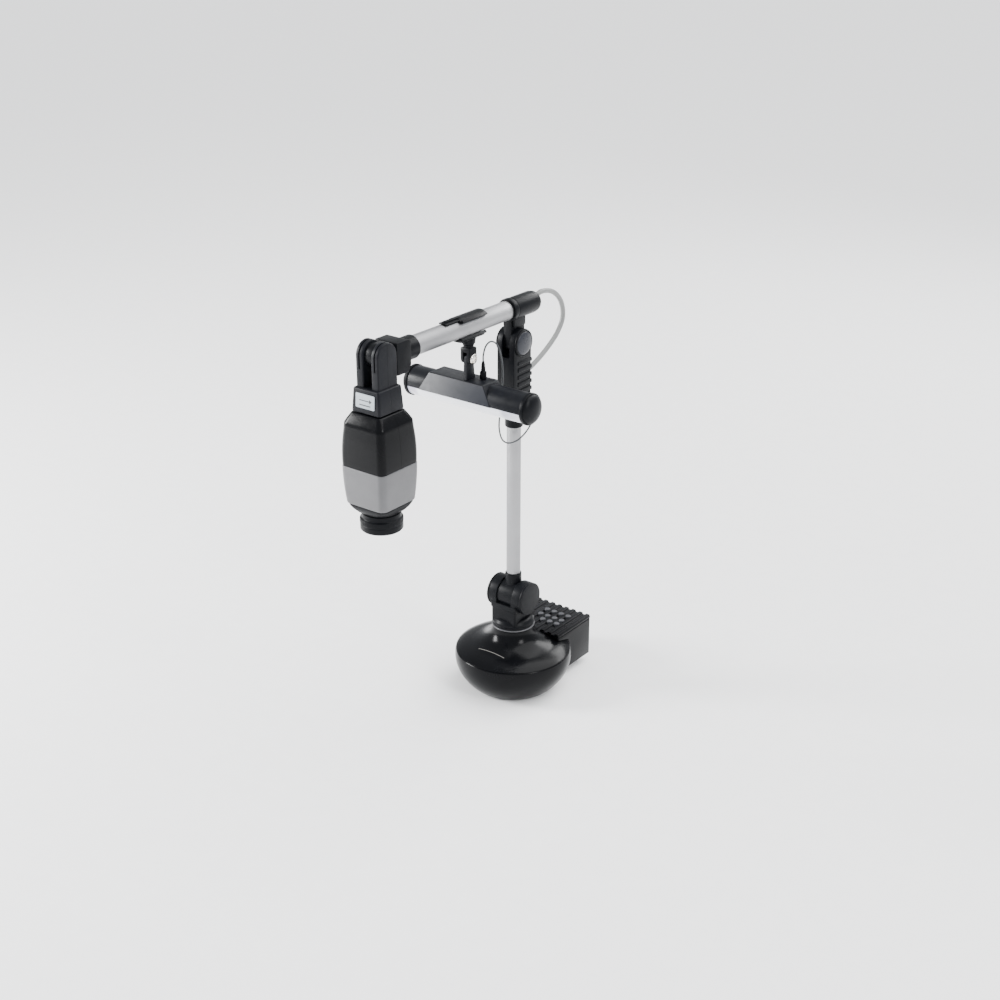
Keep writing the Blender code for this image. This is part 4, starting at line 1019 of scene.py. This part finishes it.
def make_lens():
    z = LENS_BOTTOM
    ring = [(23.5, z + 23.5), (25.4, z + 23.5), (25.4, z + 17.4), (26.2, z + 16.6), (27.4, z + 15.8)]
    ring += [(27.4, z + 9.6), (27.0, z + 9.2), (27.0, z + 8.6), (27.4, z + 8.2), (27.4, z + 1.6), (26.2, z),
             (24.8, z), (24.2, z + 0.8), (21.6, z + 7), (21.6, z + 17), (23.5, z + 17)]
    stand_for(turned("focus_ring_body", "Z", (0, HEAD_Y, 0), ring, sides=128, ring=True, ease=0.35),
              "focus_ring")
    ridges = []
    for step in range(RIDGE_COUNT):
        turn = 2 * math.pi * step / RIDGE_COUNT
        x, y = 27.35 * math.cos(turn), HEAD_Y + 27.35 * math.sin(turn)
        notch = block(f"focus_ridge_{step + 1}", (-0.25, -0.35, z + 10.4), (0.35, 0.35, z + 14.6),
                      SATIN_BLACK, 0.15)
        spin(notch, turn, "Z", (x, y, 0))
        ridges.append(notch)
    trim(merged("focus_ridges", ridges), "focus_ring")
    glass = [(0, z + 4.2), (6, z + 4.5), (12, z + 5.4), (17, z + 7.0), (21.2, z + 9.2), (21.2, z + 11),
             (0, z + 11)]
    stand_for(turned("lens_glass_front", "Z", (0, HEAD_Y, 0), glass, LENS_GLASS, 96, ease=0), "lens_glass")


RIDGE_COUNT = 48


def merged(name, parts):
    """Several separate bodies as one piece."""
    bm = bmesh.new()
    for part in parts:
        bm.from_mesh(part.data)
    finish = parts[0].data.materials[0]
    for part in parts:
        bpy.data.objects.remove(part, do_unlink=True)
    return piece_from(name, bm, finish)


# Lamp

def make_clip():
    centre = (0, ARM_Z)
    grip = ARM_RADIUS + 0.4
    clip = prism("lamp_clip_body", sector(centre, grip, 16.2, 50, 304, 60), "Y", -127, -73, rim=0.8)
    shapes = (("clip_lip", grip + 0.35, 17.8, 42, 55, 7, -125.3, -74.7, 0.6),
              ("clip_toe", grip + 0.3, 17.6, 299, 312, 7, -125.6, -74.4, 0.6),
              ("clip_tab", grip + 0.2, 15.7, 61, 112, 17, -152, -121.6, 0.6),
              ("clip_tab_rib", 14.9, 17.2, 76, 92, 7, -150.5, -120.9, 0.5),
              ("clip_pad", 15.1, 18.9, 58.5, 119, 23, -120.4, -79.6, 1.0),
              ("clip_foot", 15.2, 18.9, 237, 309, 23, -120.7, -79.3, 1.0))
    parts = [prism(name, sector(centre, inner, outer, first, last, count), "Y", front, rear, rim=rim)
             for name, inner, outer, first, last, count, front, rear, rim in shapes]
    z = low("lamp_clip", "Z")
    boss = turned("clip_boss", "Z", (0, CLIP_Y, 0), [(0, z + 9), (10.5, z + 9), (9.4, z + 5), (9, z + 0.8),
                                                     (8.2, z), (0, z)], sides=64, ease=0.6)
    combine(clip, "UNION", (*parts, boss), tangled=True)
    stand_for(clip, "lamp_clip")


def make_bracket():
    hinge = (CLIP_Y, LAMP_HINGE_Z)
    outline = arc(hinge, 7.5, 180, 360, 40) + [(CLIP_Y + 7.5, 540.6), (CLIP_Y + 6.4, 542),
                                               (CLIP_Y - 6.4, 542), (CLIP_Y - 7.5, 540.6)]
    fork = prism("lamp_bracket_body", outline, "X", -7.8, 7.8, rim=0.9)
    stem = turned("stem", "Z", (0, CLIP_Y, 0), [(0, 546.6), (6.8, 546.6), (7.4, 546), (7.4, 544.6),
                                                (6.6, 543.8), (6.6, 541), (7.2, 539), (0, 539)], sides=64,
                  ease=0.3)
    join(fork, stem)
    cut(fork, block("lug_room", (-3.4, CLIP_Y - 20, 500), (3.4, CLIP_Y + 20, 536), rim=0.3))
    stand_for(fork, "lamp_bracket")
    screw = turned("tilt_screw_head", "X", (0, CLIP_Y, LAMP_HINGE_Z),
                   [(0, 11.1), (3, 11), (5.2, 10.5), (6.5, 9.6), (6.8, 8.8), (6.8, 8.1), (2, 8.1), (2, -9.5),
                    (0, -9.5)], CHROME, 64, ease=0.25)
    slot = block("coin_slot", (9.4, -8, -0.75), (13, 8, 0.75), CHROME, rim=0.2)
    spin(slot, 0.6, "X", (0, CLIP_Y, LAMP_HINGE_Z))
    cut(screw, slot)
    stand_for(screw, "tilt_screw")


def make_lamp():
    """A round housing with a sloping hood above it, a window below, and a domed cap on each end."""
    radius = 20.5
    start, end = low("lamp_diffuser", "X"), high("lamp_diffuser", "X")
    body = turned("lamp_hood_body", "X", (0, LAMP_Y, LAMP_Z), [(0, end), (radius, end), (radius, start),
                                                               (0, start)], HOOD_GREY, 128, ease=0.2)
    hood = loft("hood", [rectangle(-77, 48, LAMP_Y - 22, LAMP_Y + 20.5, 470),
                         rectangle(-60, 31, -109, -77, HOOD_TOP)], HOOD_GREY)
    bevel = hood.modifiers.new("Bevel", "BEVEL")
    bevel.width = 1.1 * MM
    bevel.segments = 3
    baked(hood)
    lug = prism("lug", arc((CLIP_Y, LAMP_HINGE_Z), 6.5, 180, 0, 40) + [(CLIP_Y + 10, HOOD_TOP - 1),
                                                                       (CLIP_Y - 8, HOOD_TOP - 1)],
                "X", -3, 3, HOOD_GREY, rim=0.6)
    collar = turned("socket_collar", "Z", (*PLUG_AT, 0), [(0, HOOD_TOP + 0.1), (6.6, HOOD_TOP + 0.1),
                                                          (7.2, HOOD_TOP - 1), (0, HOOD_TOP - 1)], HOOD_GREY,
                    48)
    join(body, hood, lug, collar)
    centre = (LAMP_Y, LAMP_Z)
    hollow = drill("X", (0, LAMP_Y, LAMP_Z), radius - 2, 130, -130)
    window = prism("window", [centre] + arc(centre, 60, 188, 318, 12), "X", -130, 130, HOOD_GREY, rim=0)
    cut(body, hollow, window)
    # The sloping front face takes a painted sheen
    paint_front_sheen(body)
    stand_for(body, "lamp_hood")
    stand_for(prism("lamp_diffuser_sheet", sector(centre, radius - 1.8, radius - 0.2, 189.5, 316.5, 60), "X",
                    start + 0.2, end - 0.2, DIFFUSER, rim=0.3), "lamp_diffuser")
    make_lamp_caps(start, end)


def make_lamp_caps(start, end):
    for name, at, side in (("lamp_cap_left", start, -1), ("lamp_cap_right", end, 1)):
        rim = [(0, 4.2), (19.6, 4.2), (20.2, 5.2), (21.0, 5.2), (21.5, 4.4), (21.5, 0.3), (0, 0.3)]
        stand_for(turned(name + "_rim", "X", (at, LAMP_Y, LAMP_Z), rim, sides=128, ease=0.25, flip=side < 0),
                  name)
        dome = dome_outline(19.9, 4.6, 9.0, 18, 4.0)
        trim(turned(name + "_dome", "X", (at, LAMP_Y, LAMP_Z), dome, sides=128, ease=0, flip=side < 0), name)


def paint_front_sheen(body):
    """Painted sheen: the hood's sloping front face, picked by the way it faces, takes a lighter grey than the
    rest of the lamp's housing, though it is the same plastic.
    """
    body.data.materials.append(HOOD_FRONT_PAINTED_SHEEN)
    for polygon in body.data.polygons:
        slope = polygon.normal.y < -0.6 and 0.15 < polygon.normal.z < 0.8
        if slope and polygon.area > 200 * MM * MM:
            polygon.material_index = 1


def rectangle(x_low, x_high, y_low, y_high, z):
    return [(x_low, y_low, z), (x_high, y_low, z), (x_high, y_high, z), (x_low, y_high, z)]


def finish_carried_nodes():
    """A material of its slot for each CAD node that still shows."""
    for node, obj in frame["nodes"].items():
        obj.data.materials.clear()
        obj.data.materials.append(FINISH_OF_SLOT[SLOT_OF[node]])


make_camera()
make_cords(make_plug())
finish_carried_nodes()
make_base()
make_control_box()
make_turret()
make_pole()
make_elbow()
make_arm()
make_fork()
make_head()
make_clip()
make_bracket()
make_lamp()
make_studio()
